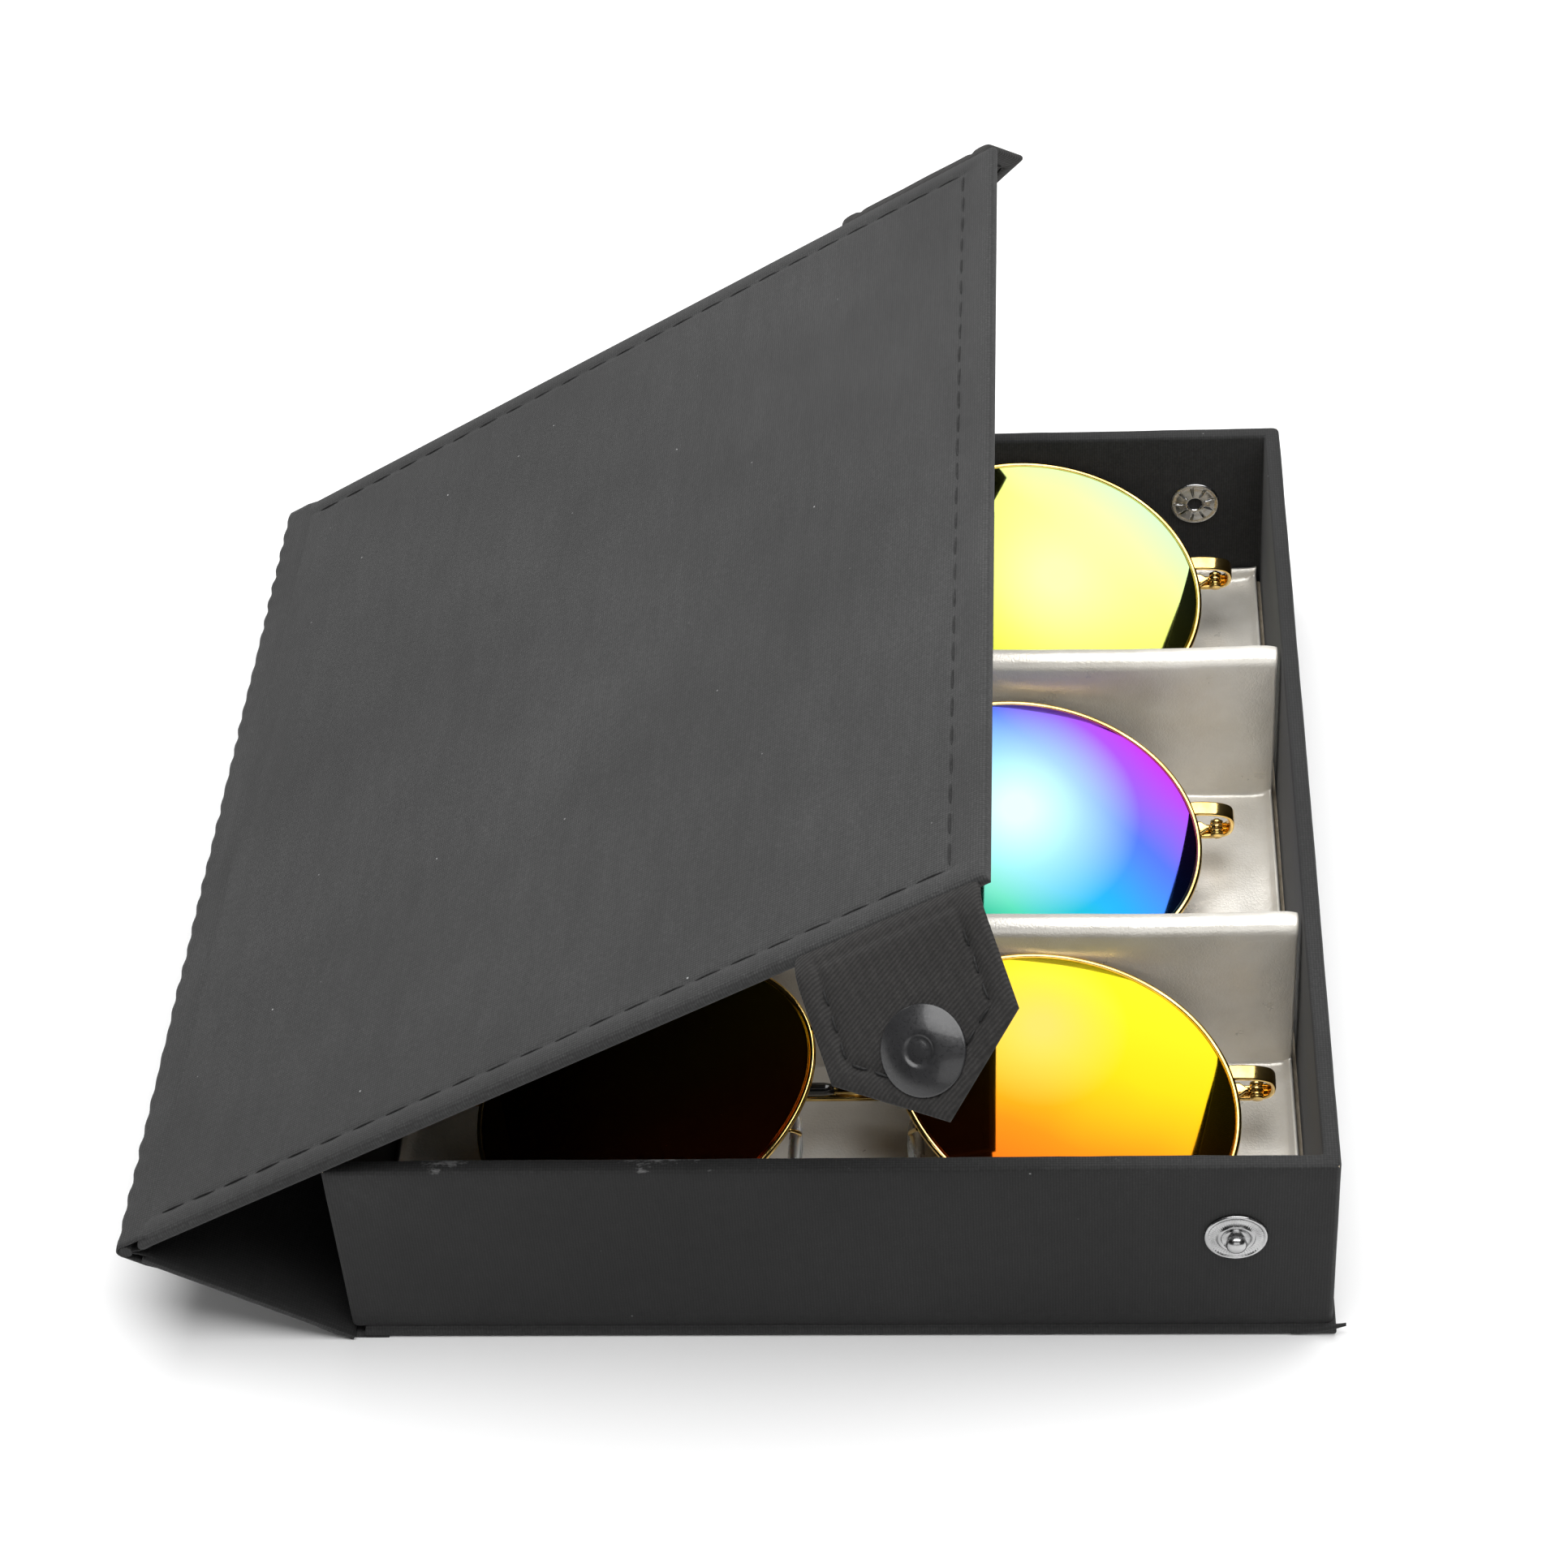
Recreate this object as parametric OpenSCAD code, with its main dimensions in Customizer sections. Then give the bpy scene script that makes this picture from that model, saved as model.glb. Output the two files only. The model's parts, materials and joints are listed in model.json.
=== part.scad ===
// A folding cloth-covered case that holds three pairs of wire-rimmed glasses.
// +Z is up, +X is the side with the snaps, and -Y is the front.
// The origin is the centre of the tray's underside.

/* [Tray] */
// Outside width of the tray, along X
tray_w = 176; // [172:1:184]
// Outside depth of the tray, along Y
tray_d = 210; // [208:1:220]
// Height of the tray's walls above the bottom panel
wall_h = 41.2; // [41:0.1:44]
// Thickness of a wall with its cloth
wall_t = 3.2; // [2.8:0.1:3.4]
// Thickness of one layer of cloth
cloth_t = 0.4; // [0.3:0.05:0.5]

/* [Cover] */
// Thickness of the bottom, spine and lid panels with their cloth
panel_t = 2.4; // [2.2:0.1:2.6]
// How far the lid reaches past the tray on its free sides
overhang = 1.4; // [1:0.1:2]
// Lean of the spine panel from upright, in degrees
spine_lean = 58.5; // [54:0.5:62]

/* [Tabs] */
// Width of a snap tab
tab_w = 35; // [30:1:38]
// Length of a tab from its fold to its point
tab_len = 31.4; // [30:0.1:36]
// Length of a tab's straight sides
tab_side = 18.8; // [18:0.1:22]
// Thickness of a tab
tab_t = 1.4; // [1.2:0.1:1.5]
// Distance from a tab's fold to its snap
snap_reach = 19.3; // [18:0.1:21]
// Place of the snaps to the right of the middle
snap_x = 70.4; // [60:0.1:72]
// Droop of the front tab from the lid's plane, in degrees
front_droop = 40; // [10:1:80]
// Droop of the rear tab from the lid's plane, in degrees
rear_droop = 45; // [10:1:80]

/* [Liner] */
// Thickness of the tray's own floor board
floor_t = 1.6; // [1.2:0.1:2]
// Thickness of the soft liner on the floor
liner_t = 1; // [0.8:0.1:1.4]
// Thickness of a divider
divider_t = 4; // [3:0.1:5]
// Height of the dividers' tops above the table
divider_top = 41.5; // [38:0.1:42]
// Front face of the rear divider
rear_divider_y = 31.5; // [30:0.5:33]
// Front face of the front divider
front_divider_y = -44; // [-46:0.5:-43]

/* [Glasses] */
// Half width that shapes a lens
lens_a = 32.2; // [30:0.1:32.4]
// Half height of a lens
lens_b = 26.4; // [25:0.1:26.6]
// Distance from the nose to the middle of a lens
lens_offset = 39; // [38:0.1:39.2]
// Diameter of the rim wire
rim_d = 1.6; // [1.2:0.1:1.8]
// Thickness of a lens
lens_t = 1.6; // [1.4:0.1:1.8]
// Length of the metal part of a temple
temple_len = 78; // [74:1:80]
// Length of a temple's plastic tip
tip_len = 54; // [48:1:56]

/* [Hidden] */
$fn = 48;

black_cloth = "#2b2b2d";
grey_cloth = "#3a3a3c";
card = "#8a7a62";
silver_skin = "#aba7a2";
steel = "#c9c9cb";
gold = "#d8b24a";
pad_clear = "#e8e8e8";
tip_black = "#151515";

// Heights of the tray
wall_top = panel_t + wall_h;
liner_top = panel_t + floor_t + liner_t;
inner_x = tray_w / 2 - wall_t;
inner_y = tray_d / 2 - wall_t;

// Lower hinge line of the cover, at the tray's bottom left edge
side_gap = 0.4;
low_x = -tray_w / 2 - side_gap;
low_z = panel_t;

// Upper hinge line, closed and as it stands
lid_gap = 0.5;
closed_x = low_x - panel_t / 2;
closed_z = wall_top + lid_gap + panel_t / 2;
hinge_rise = closed_z - low_z;
high_x = low_x - panel_t / 2 * cos(spine_lean) - hinge_rise * sin(spine_lean);
high_z = low_z - panel_t / 2 * sin(spine_lean) + hinge_rise * cos(spine_lean);

// The lid leans on the top edge of the left wall, with a hair of room
lean_gap = 0.35;
corner_run = -tray_w / 2 - high_x;
corner_rise = wall_top - high_z;
corner_reach = sqrt(corner_run * corner_run + corner_rise * corner_rise);
lid_tilt = atan2(corner_rise, corner_run) + asin((panel_t / 2 + lean_gap) / corner_reach);

// Panels stop short of the upper hinge line, so that the cloth can fold
fold_room = 3.2;
hinge_clear = 0.3;
nose_gap = 0.2;
cover_d = tray_d + 2 * overhang;
lid_len = tray_w + side_gap + panel_t / 2 + overhang;

// Snap fasteners
tab_lead = 2.9;
tab_y = cover_d / 2 + tab_lead;
snap_z = closed_z - snap_reach;
tab_x = snap_x - closed_x;
shank_r = 1.9;
shank_bore_r = 2;
root_t = 1.2;
root_clear = 1;

// Where each pair of glasses lies: x, y, z and tilt, for the front, middle and back
front_pose = [3, -71.3, 27.5, 22];
middle_pose = [-1.5, 2, 26, 21];
back_pose = [1, 75.1, 28, 27];

// Shape of the lenses: how they taper and shear downwards, and how they curve
lens_taper = 0.16;
lens_shear = 5.5;
lens_r = 110;
lens_wrap = 0.14;
lens_steps = 48;
lens_rings = 4;

// Hinges of the glasses, in the plane of the front
hinge_u = 73.4;
hinge_v = 6;
hinge_w = -16.8;
barrel_r = 1.3;
barrel_h = 1;
screw_r = 0.65;
bar_h = 2.8;
bar_t = 1.2;
tip_r = 1.9;

// The left temple lies above the right one
left_slope = -0.02;
right_slope = 0.026;

// Place helpers

module along_y(depth) {
    rotate([90, 0, 0])
        linear_extrude(depth, center = true)
            children();
}

module block(low, high) {
    translate(low)
        cube(high - low);
}

module on_spine() {
    translate([low_x, 0, low_z])
        rotate([0, -spine_lean, 0])
            translate([-low_x, 0, -low_z])
                children();
}

module on_lid() {
    translate([high_x, 0, high_z])
        rotate([0, -lid_tilt, 0])
            children();
}

module on_rear_tab() {
    on_lid()
        translate([tab_x, tab_y, 0])
            rotate([-rear_droop, 0, 0])
                children();
}

module on_front_tab() {
    on_lid()
        mirror([0, 1, 0])
            translate([tab_x, tab_y, 0])
                rotate([-front_droop, 0, 0])
                    children();
}

module on_front_wall() {
    translate([snap_x, -tray_d / 2, snap_z])
        rotate([90, 0, 0])
            children();
}

module on_back_wall() {
    translate([snap_x, tray_d / 2, snap_z])
        rotate([-90, 0, 0])
            children();
}

module on_pair(pose) {
    translate([pose.x, pose.y, pose.z])
        rotate([pose[3], 0, 0])
            children();
}

// Bottom panel and tray

module base_board() {
    color(card)
        block([low_x + 3.4, -tray_d / 2 - 0.4, cloth_t], [tray_w / 2 + 0.2, tray_d / 2 + 0.4, panel_t - cloth_t]);
}

module base_cover() {
    color(black_cloth)
        difference() {
            block([low_x, -tray_d / 2 - 0.8, 0], [tray_w / 2 + 0.6, tray_d / 2 + 0.8, panel_t]);
            base_board();
            translate([low_x, 0, low_z])
                rotate([90, 0, 0])
                    cylinder(h = tray_d + 4, r = panel_t + hinge_clear, center = true);
        }
}

module tray_floor() {
    color(card)
        block([-inner_x, -inner_y, panel_t], [inner_x, inner_y, panel_t + floor_t]);
}

// Bores for the snaps' shanks, through the front and back walls
module snap_bores() {
    translate([snap_x, 0, snap_z])
        rotate([90, 0, 0])
            cylinder(h = tray_d + 4, r = shank_bore_r, center = true);
}

module wall_front() {
    color(card)
        difference() {
            block([-tray_w / 2 + cloth_t, -tray_d / 2 + cloth_t, panel_t],
                  [tray_w / 2 - cloth_t, -inner_y - cloth_t, wall_top - cloth_t]);
            snap_bores();
        }
}

module wall_back() {
    color(card)
        mirror([0, 1, 0])
            wall_front();
}

module wall_left() {
    color(card)
        block([-tray_w / 2 + cloth_t, -inner_y - cloth_t, panel_t],
              [-inner_x - cloth_t, inner_y + cloth_t, wall_top - cloth_t]);
}

module wall_right() {
    color(card)
        mirror([1, 0, 0])
            wall_left();
}

module tray_wrap() {
    color(black_cloth)
        difference() {
            block([-tray_w / 2, -tray_d / 2, panel_t], [tray_w / 2, tray_d / 2, wall_top]);
            block([-inner_x, -inner_y, panel_t - 1], [inner_x, inner_y, wall_top + 1]);
            wall_front();
            wall_back();
            wall_left();
            wall_right();
            snap_bores();
        }
}

// Liner and dividers

module floor_liner() {
    color(silver_skin)
        block([-inner_x + 0.7, -inner_y + 0.3, panel_t + floor_t], [inner_x - 0.7, inner_y - 0.3, liner_top]);
}

// A divider is a thin card in a soft skin that is round along the top
module divider_core(front_y) {
    color(card)
        block([-inner_x + 1.5, front_y + divider_t / 2 - 0.6, liner_top],
              [inner_x - 1.5, front_y + divider_t / 2 + 0.6, divider_top - divider_t / 2]);
}

module divider_skin(front_y) {
    color(silver_skin)
        difference() {
            translate([0, front_y + divider_t / 2, 0])
                rotate([0, 0, 90])
                    along_y(2 * inner_x - 1.2) {
                        translate([-divider_t / 2, liner_top])
                            square([divider_t, divider_top - divider_t / 2 - liner_top]);
                        translate([0, divider_top - divider_t / 2])
                            circle(d = divider_t);
                    }
            divider_core(front_y);
        }
}

module divider_front() {
    divider_skin(front_divider_y);
}

module divider_rear() {
    divider_skin(rear_divider_y);
}

module divider_front_core() {
    divider_core(front_divider_y);
}

module divider_rear_core() {
    divider_core(rear_divider_y);
}

// Snap studs on the walls, drawn along +Z away from the wall

module snap_stud() {
    flange_r = 5.5;
    flange_t = 0.5;
    post_r = 1.3;
    ball_r = 1.6;
    ball_z = 1.4;
    color(steel) {
        rotate_extrude()
            intersection() {
                union() {
                    square([flange_r, flange_t]);
                    translate([3.1, flange_t])
                        circle(r = 0.45, $fn = 24);
                    square([post_r, ball_z]);
                    translate([0, ball_z])
                        circle(r = ball_r);
                }
                square([flange_r, ball_z + ball_r]);
            }
        translate([0, 0, -wall_t])
            cylinder(h = wall_t, r = shank_r);
    }
}

module snap_eyelet() {
    eyelet_r = 5.2;
    eyelet_t = 0.7;
    petals = 8;
    color(steel)
        translate([0, 0, -wall_t - eyelet_t])
            difference() {
                cylinder(h = eyelet_t, r = eyelet_r);
                translate([0, 0, -1])
                    cylinder(h = eyelet_t + 2, r = 1.2);
                for (i = [0:petals - 1])
                    rotate([0, 0, i * 360 / petals])
                        translate([3.2, 0, -1])
                            cylinder(h = eyelet_t + 2, r = 0.5, $fn = 16);
            }
}

module stud_front() {
    on_front_wall()
        snap_stud();
}

module stud_rear() {
    on_back_wall()
        snap_stud();
}

module eyelet_front() {
    on_front_wall()
        snap_eyelet();
}

module eyelet_rear() {
    on_back_wall()
        snap_eyelet();
}

// Spine panel, drawn closed and leant outwards about the lower hinge line

module spine_board() {
    color(card)
        on_spine()
            block([low_x - panel_t + cloth_t, -cover_d / 2 + cloth_t, low_z + cloth_t],
                  [low_x - cloth_t, cover_d / 2 - cloth_t, closed_z - fold_room - cloth_t]);
}

module spine_cover() {
    color(grey_cloth)
        difference() {
            on_spine()
                translate([low_x, 0, low_z])
                    along_y(cover_d) {
                        translate([-panel_t, 0])
                            square([panel_t, hinge_rise - fold_room]);
                        intersection() {
                            circle(r = panel_t);
                            translate([-panel_t, -panel_t])
                                square([panel_t - nose_gap, panel_t]);
                        }
                    }
            spine_board();
        }
}

module hinge_roll() {
    color(grey_cloth)
        translate([high_x, 0, high_z])
            rotate([90, 0, 0])
                cylinder(h = cover_d - 1, r = panel_t / 2, center = true);
}

// Lid, drawn along +X from the upper hinge line with its outside up

module lid_board() {
    color(card)
        on_lid()
            block([fold_room + cloth_t, -cover_d / 2 + cloth_t, -panel_t / 2 + cloth_t],
                  [lid_len - panel_t / 2, cover_d / 2 - cloth_t, panel_t / 2 - cloth_t]);
}

module lid_lining() {
    color(black_cloth)
        on_lid()
            block([fold_room + 2, -cover_d / 2 + 1.6, -panel_t / 2],
                  [lid_len - 4, cover_d / 2 - 1.6, -panel_t / 2 + cloth_t]);
}

module lid_cover() {
    color(grey_cloth)
        difference() {
            on_lid()
                along_y(cover_d) {
                    translate([fold_room, -panel_t / 2])
                        square([lid_len - panel_t / 2 - fold_room, panel_t]);
                    translate([lid_len - panel_t / 2, 0])
                        circle(d = panel_t);
                }
            lid_board();
            lid_lining();
        }
}

// Tongue that holds a tab, sewn into the lid's edge
module tab_root() {
    color(black_cloth)
        block([tab_x - tab_w / 2, cover_d / 2, -root_t / 2], [tab_x + tab_w / 2, tab_y - root_clear, root_t / 2]);
}

module front_tab_root() {
    on_lid()
        mirror([0, 1, 0])
            tab_root();
}

module rear_tab_root() {
    on_lid()
        tab_root();
}

// Tabs, drawn along +Y from their fold with their outside up

module tab_body() {
    tip_flat = 2;
    color(black_cloth) {
        difference() {
            linear_extrude(tab_t, center = true)
                polygon([
                    [-tab_w / 2, 0], [tab_w / 2, 0], [tab_w / 2, tab_side],
                    [tip_flat, tab_len], [-tip_flat, tab_len], [-tab_w / 2, tab_side]
                ]);
            translate([0, snap_reach, 0])
                cylinder(h = tab_t + 2, r = shank_bore_r, center = true);
        }
        rotate([0, 90, 0])
            cylinder(h = tab_w, d = tab_t, center = true);
    }
}

module snap_cap() {
    cap_r = 7.5;
    edge_t = 0.5;
    dome_h = 1.6;
    dome_r = (cap_r * cap_r + dome_h * dome_h) / (2 * dome_h);
    color(tip_black)
        translate([0, snap_reach, 0]) {
            translate([0, 0, tab_t / 2])
                rotate_extrude()
                    difference() {
                        union() {
                            square([cap_r, edge_t]);
                            intersection() {
                                translate([0, edge_t + dome_h - dome_r])
                                    circle(r = dome_r, $fn = 96);
                                translate([0, edge_t])
                                    square([cap_r, dome_h]);
                            }
                        }
                        translate([2.3, edge_t + dome_h + 0.1])
                            circle(r = 0.45, $fn = 24);
                    }
            translate([0, 0, -tab_t / 2])
                cylinder(h = tab_t, r = shank_r);
        }
}

module snap_socket() {
    socket_r = 5.6;
    socket_t = 2.4;
    mouth_r = 2.1;
    mouth_depth = 2.1;
    color(steel)
        translate([0, snap_reach, -tab_t / 2 - socket_t])
            difference() {
                cylinder(h = socket_t, r = socket_r);
                translate([0, 0, -1])
                    cylinder(h = mouth_depth + 1, r = mouth_r);
                translate([0, 0, -0.1])
                    rotate_extrude()
                        translate([3.9, 0])
                            circle(r = 0.6, $fn = 24);
            }
}

module front_tab() {
    on_front_tab()
        tab_body();
}

module front_cap() {
    on_front_tab()
        snap_cap();
}

module front_socket() {
    on_front_tab()
        snap_socket();
}

module rear_tab() {
    on_rear_tab()
        tab_body();
}

module rear_cap() {
    on_rear_tab()
        snap_cap();
}

module rear_socket() {
    on_rear_tab()
        snap_socket();
}

// Glasses, drawn with X across, Y up the lenses and Z out of their front

// Outline of a lens at angle t, grown outwards, as its own u and v
function lens_edge(t, grow) = [
    (lens_a + grow) * cos(t) * (1 - lens_taper * (1 - sin(t)) / 2) - lens_shear * sin(t),
    (lens_b + grow) * sin(t)
];

// Depth of the lens surface at its own u and v
function lens_depth(p) = -(p.x * p.x + p.y * p.y) / (2 * lens_r) - lens_wrap * p.x;

// A point of the right lens in the frame of the pair
function lens_point(p) = [lens_offset + p.x, p.y, lens_depth(p)];

// Skin of a tube of n sides round the path, square to it, for a polyhedron
function unit(v) = v / norm(v);
function tangent(path, i, closed) =
    let (count = len(path))
    closed
        ? unit(path[(i + 1) % count] - path[(i + count - 1) % count])
        : unit(path[min(i + 1, count - 1)] - path[max(i - 1, 0)]);
function tube_ring(centre, along, r, n, ref) =
    let (side = unit(cross(along, ref)), up = cross(side, along))
    [for (j = [0:n - 1]) centre + r * (cos(j * 360 / n) * side + sin(j * 360 / n) * up)];

module tube(path, r, n = 8, closed = false, ref = [0, 0, 1]) {
    count = len(path);
    spans = closed ? count : count - 1;
    points = [for (i = [0:count - 1]) each tube_ring(path[i], tangent(path, i, closed), r, n, ref)];
    walls = [
        for (i = [0:spans - 1], j = [0:n - 1])
            let (k = (i + 1) % count, m = (j + 1) % n)
            [i * n + j, i * n + m, k * n + m, k * n + j]
    ];
    ends = closed ? [] : [
        [for (j = [0:n - 1]) n - 1 - j],
        [for (j = [0:n - 1]) (count - 1) * n + j]
    ];
    polyhedron(points, concat(walls, ends));
}

// Both halves of a pair of glasses
module both_sides() {
    children();
    mirror([1, 0, 0])
        children();
}

module rims() {
    rim_steps = 60;
    rim_grow = rim_d / 2 + 0.1;
    both_sides()
        tube([for (i = [0:rim_steps - 1]) lens_point(lens_edge(i * 360 / rim_steps, rim_grow))],
             rim_d / 2, closed = true);
}

// The lower bridge and the brow bar, each an arch from rim to rim
module bridges() {
    bridge_end = lens_point(lens_edge(154, 1.4));
    brow_end = lens_point(lens_edge(118, 1.4));
    arch_steps = 8;
    for (arch = [[bridge_end, 1.2, 2.2], [brow_end, 1.8, 1.4]])
        tube([
            for (i = [-arch_steps:arch_steps])
                let (k = i / arch_steps)
                [arch[0].x * k, arch[0].y + arch[1] * (1 - k * k), arch[0].z + arch[2] * (1 - k * k)]
        ], 0.8);
}

// Flat shape from low to high that is round at its two right corners
module round_right(low, high, r) {
    translate(low)
        square([high.x - r - low.x, high.y - low.y]);
    translate([high.x - r, low.y + r])
        square([r, high.y - low.y - 2 * r]);
    for (corner_y = [low.y + r, high.y - r])
        translate([high.x - r, corner_y])
            circle(r = r);
}

// Strip that leaves the rim, curls back and holds the temple's screw
module end_piece() {
    strip_t = 0.9;
    curl_r = 3.2;
    reach_in = 5.2;
    front_w = lens_depth(lens_edge(0, rim_d / 2)) + 0.6;
    back_w = hinge_w - barrel_r - 0.35;
    outer_u = hinge_u + curl_r;
    difference() {
        translate([0, hinge_v + bar_h / 2, 0])
            rotate([90, 0, 0])
                linear_extrude(bar_h)
                    difference() {
                        round_right([hinge_u - reach_in, back_w], [outer_u, front_w], curl_r);
                        round_right([hinge_u - reach_in - 1, back_w + strip_t],
                                    [outer_u - strip_t, front_w - strip_t], curl_r - strip_t);
                        translate([hinge_u - reach_in - 1, back_w - 1])
                            square([reach_in, strip_t + 2]);
                    }
        translate([hinge_u, hinge_v, hinge_w])
            rotate([90, 0, 0])
                cylinder(h = barrel_h + 0.2, r = barrel_r + 0.1, center = true);
    }
}

// Two ears of the hinge, above and below the temple's own barrel
module hinge_ears() {
    ear_h = 0.8;
    ear_gap = 0.1;
    for (side = [-1, 1])
        translate([hinge_u, hinge_v + side * (bar_h / 2 - ear_h / 2), hinge_w])
            rotate([90, 0, 0])
                difference() {
                    cylinder(h = ear_h - ear_gap, r = barrel_r, center = true, $fn = 24);
                    cylinder(h = ear_h + 1, r = screw_r + 0.05, center = true, $fn = 24);
                }
}

module pad_arm() {
    start = lens_point(lens_edge(196, 1.2));
    tube([start, start + [-0.6, 0.5, -2.5], start + [-1.2, 0.8, -4.8], start + [-0.4, 0.6, -6.4]], 0.45, 6, ref = [0, 1, 0]);
}

module frame() {
    color(gold) {
        rims();
        bridges();
        both_sides() {
            end_piece();
            hinge_ears();
            pad_arm();
        }
    }
}

module lens_right(tint) {
    rings = [for (k = [1:lens_rings], i = [0:lens_steps - 1]) lens_edge(i * 360 / lens_steps, 0) * k / lens_rings];
    flat_points = concat([[0, 0]], rings);
    half = len(flat_points);
    front = [for (p = flat_points) lens_point(p) + [0, 0, lens_t / 2]];
    rear = [for (p = flat_points) lens_point(p) - [0, 0, lens_t / 2]];
    last = 1 + (lens_rings - 1) * lens_steps;
    color(tint)
        polyhedron(concat(front, rear), concat(
            [for (i = [0:lens_steps - 1]) [0, 1 + (i + 1) % lens_steps, 1 + i]],
            [for (i = [0:lens_steps - 1]) [half, half + 1 + i, half + 1 + (i + 1) % lens_steps]],
            [for (k = [0:lens_rings - 2], i = [0:lens_steps - 1])
                let (a = 1 + k * lens_steps + i, b = 1 + k * lens_steps + (i + 1) % lens_steps)
                [a, b, b + lens_steps, a + lens_steps]],
            [for (k = [0:lens_rings - 2], i = [0:lens_steps - 1])
                let (a = half + 1 + k * lens_steps + i, b = half + 1 + k * lens_steps + (i + 1) % lens_steps)
                [a, a + lens_steps, b + lens_steps, b]],
            [for (i = [0:lens_steps - 1])
                let (a = last + i, b = last + (i + 1) % lens_steps)
                [a, b, b + half, a + half]]
        ));
}

module lens_left(tint) {
    mirror([1, 0, 0])
        lens_right(tint);
}

module pads() {
    pad_l = 12.5;
    pad_w = 6.4;
    pad_t = 2.2;
    start = lens_point(lens_edge(196, 1.2));
    color(pad_clear)
        both_sides()
            translate(start + [-0.7, -0.6, -7.8])
                rotate([0, 74, 0])
                    rotate([0, 0, 8])
                        linear_extrude(pad_t, center = true) {
                            square([pad_w, pad_l - pad_w], center = true);
                            for (side = [-1, 1])
                                translate([0, side * (pad_l - pad_w) / 2])
                                    circle(d = pad_w);
                        }
}

// A folded temple runs from its hinge across the back of the lenses. It sinks
// by the given slope, so that one temple lies on the other.
module temple(slope) {
    sink = atan(slope);
    color(gold)
        difference() {
            union() {
                translate([hinge_u, hinge_v, hinge_w])
                    rotate([90, 0, 0])
                        cylinder(h = barrel_h, r = barrel_r, center = true);
                translate([hinge_u, hinge_v, hinge_w])
                    rotate([0, sink, 0])
                        block([-temple_len, -barrel_h / 2, -bar_t / 2], [0, barrel_h / 2, bar_t / 2]);
                translate([hinge_u, hinge_v, hinge_w])
                    rotate([0, sink, 0])
                        block([-temple_len, -bar_h / 2, -bar_t / 2], [-barrel_r - 0.4, bar_h / 2, bar_t / 2]);
            }
            translate([hinge_u, hinge_v, hinge_w])
                rotate([90, 0, 0])
                    cylinder(h = bar_h + 2, r = screw_r + 0.05, center = true);
        }
}

// Plastic tip on the end of a temple, hooked a little downwards
module temple_tip(slope) {
    sink = atan(slope);
    hook_drop = 5;
    hook_start = 20;
    tip_steps = 16;
    color(tip_black)
        translate([hinge_u, hinge_v, hinge_w])
            rotate([0, sink, 0])
                tube([
                    for (i = [0:tip_steps])
                        let (
                            x = i * tip_len / tip_steps,
                            bend = max(0, (x - hook_start) / (tip_len - hook_start))
                        )
                        [-temple_len - x, -hook_drop * bend * bend, 0]
                ], tip_r);
}

module screws() {
    color(gold)
        both_sides()
            translate([hinge_u, hinge_v, hinge_w])
                rotate([90, 0, 0]) {
                    cylinder(h = bar_h, r = screw_r, center = true);
                    translate([0, 0, -bar_h / 2 - 0.5])
                        cylinder(h = 0.5, r = barrel_r);
                }
}

module temple_left() {
    mirror([1, 0, 0])
        temple(left_slope);
}

module tip_left() {
    mirror([1, 0, 0])
        temple_tip(left_slope);
}

base_board();
base_cover();
tray_floor();
tray_wrap();
wall_front();
wall_back();
wall_left();
wall_right();
floor_liner();
divider_front();
divider_rear();
divider_front_core();
divider_rear_core();
stud_front();
stud_rear();
eyelet_front();
eyelet_rear();
spine_board();
spine_cover();
hinge_roll();
lid_board();
lid_cover();
lid_lining();
front_tab_root();
rear_tab_root();
front_tab();
front_cap();
front_socket();
rear_tab();
rear_cap();
rear_socket();
on_pair(front_pose) frame();  // front_frame
on_pair(front_pose) lens_left("#3a2a10");  // front_lens_left
on_pair(front_pose) lens_right("orange");  // front_lens_right
on_pair(front_pose) pads();  // front_pads
on_pair(front_pose) temple_left();  // front_temple_left
on_pair(front_pose) temple(right_slope);  // front_temple_right
on_pair(front_pose) tip_left();  // front_tip_left
on_pair(front_pose) temple_tip(right_slope);  // front_tip_right
on_pair(front_pose) screws();  // front_screws
on_pair(middle_pose) frame();  // middle_frame
on_pair(middle_pose) lens_left("royalblue");  // middle_lens_left
on_pair(middle_pose) lens_right("royalblue");  // middle_lens_right
on_pair(middle_pose) pads();  // middle_pads
on_pair(middle_pose) temple_left();  // middle_temple_left
on_pair(middle_pose) temple(right_slope);  // middle_temple_right
on_pair(middle_pose) tip_left();  // middle_tip_left
on_pair(middle_pose) temple_tip(right_slope);  // middle_tip_right
on_pair(middle_pose) screws();  // middle_screws
on_pair(back_pose) frame();  // back_frame
on_pair(back_pose) lens_left("greenyellow");  // back_lens_left
on_pair(back_pose) lens_right("greenyellow");  // back_lens_right
on_pair(back_pose) pads();  // back_pads
on_pair(back_pose) temple_left();  // back_temple_left
on_pair(back_pose) temple(right_slope);  // back_temple_right
on_pair(back_pose) tip_left();  // back_tip_left
on_pair(back_pose) temple_tip(right_slope);  // back_tip_right
on_pair(back_pose) screws();  // back_screws
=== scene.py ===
"""Looks of a folding cloth-covered case with three pairs of mirrored glasses, round its CAD frame."""

import json
import math

import bpy
import numpy as np
from mathutils import Matrix, Vector, noise


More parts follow.
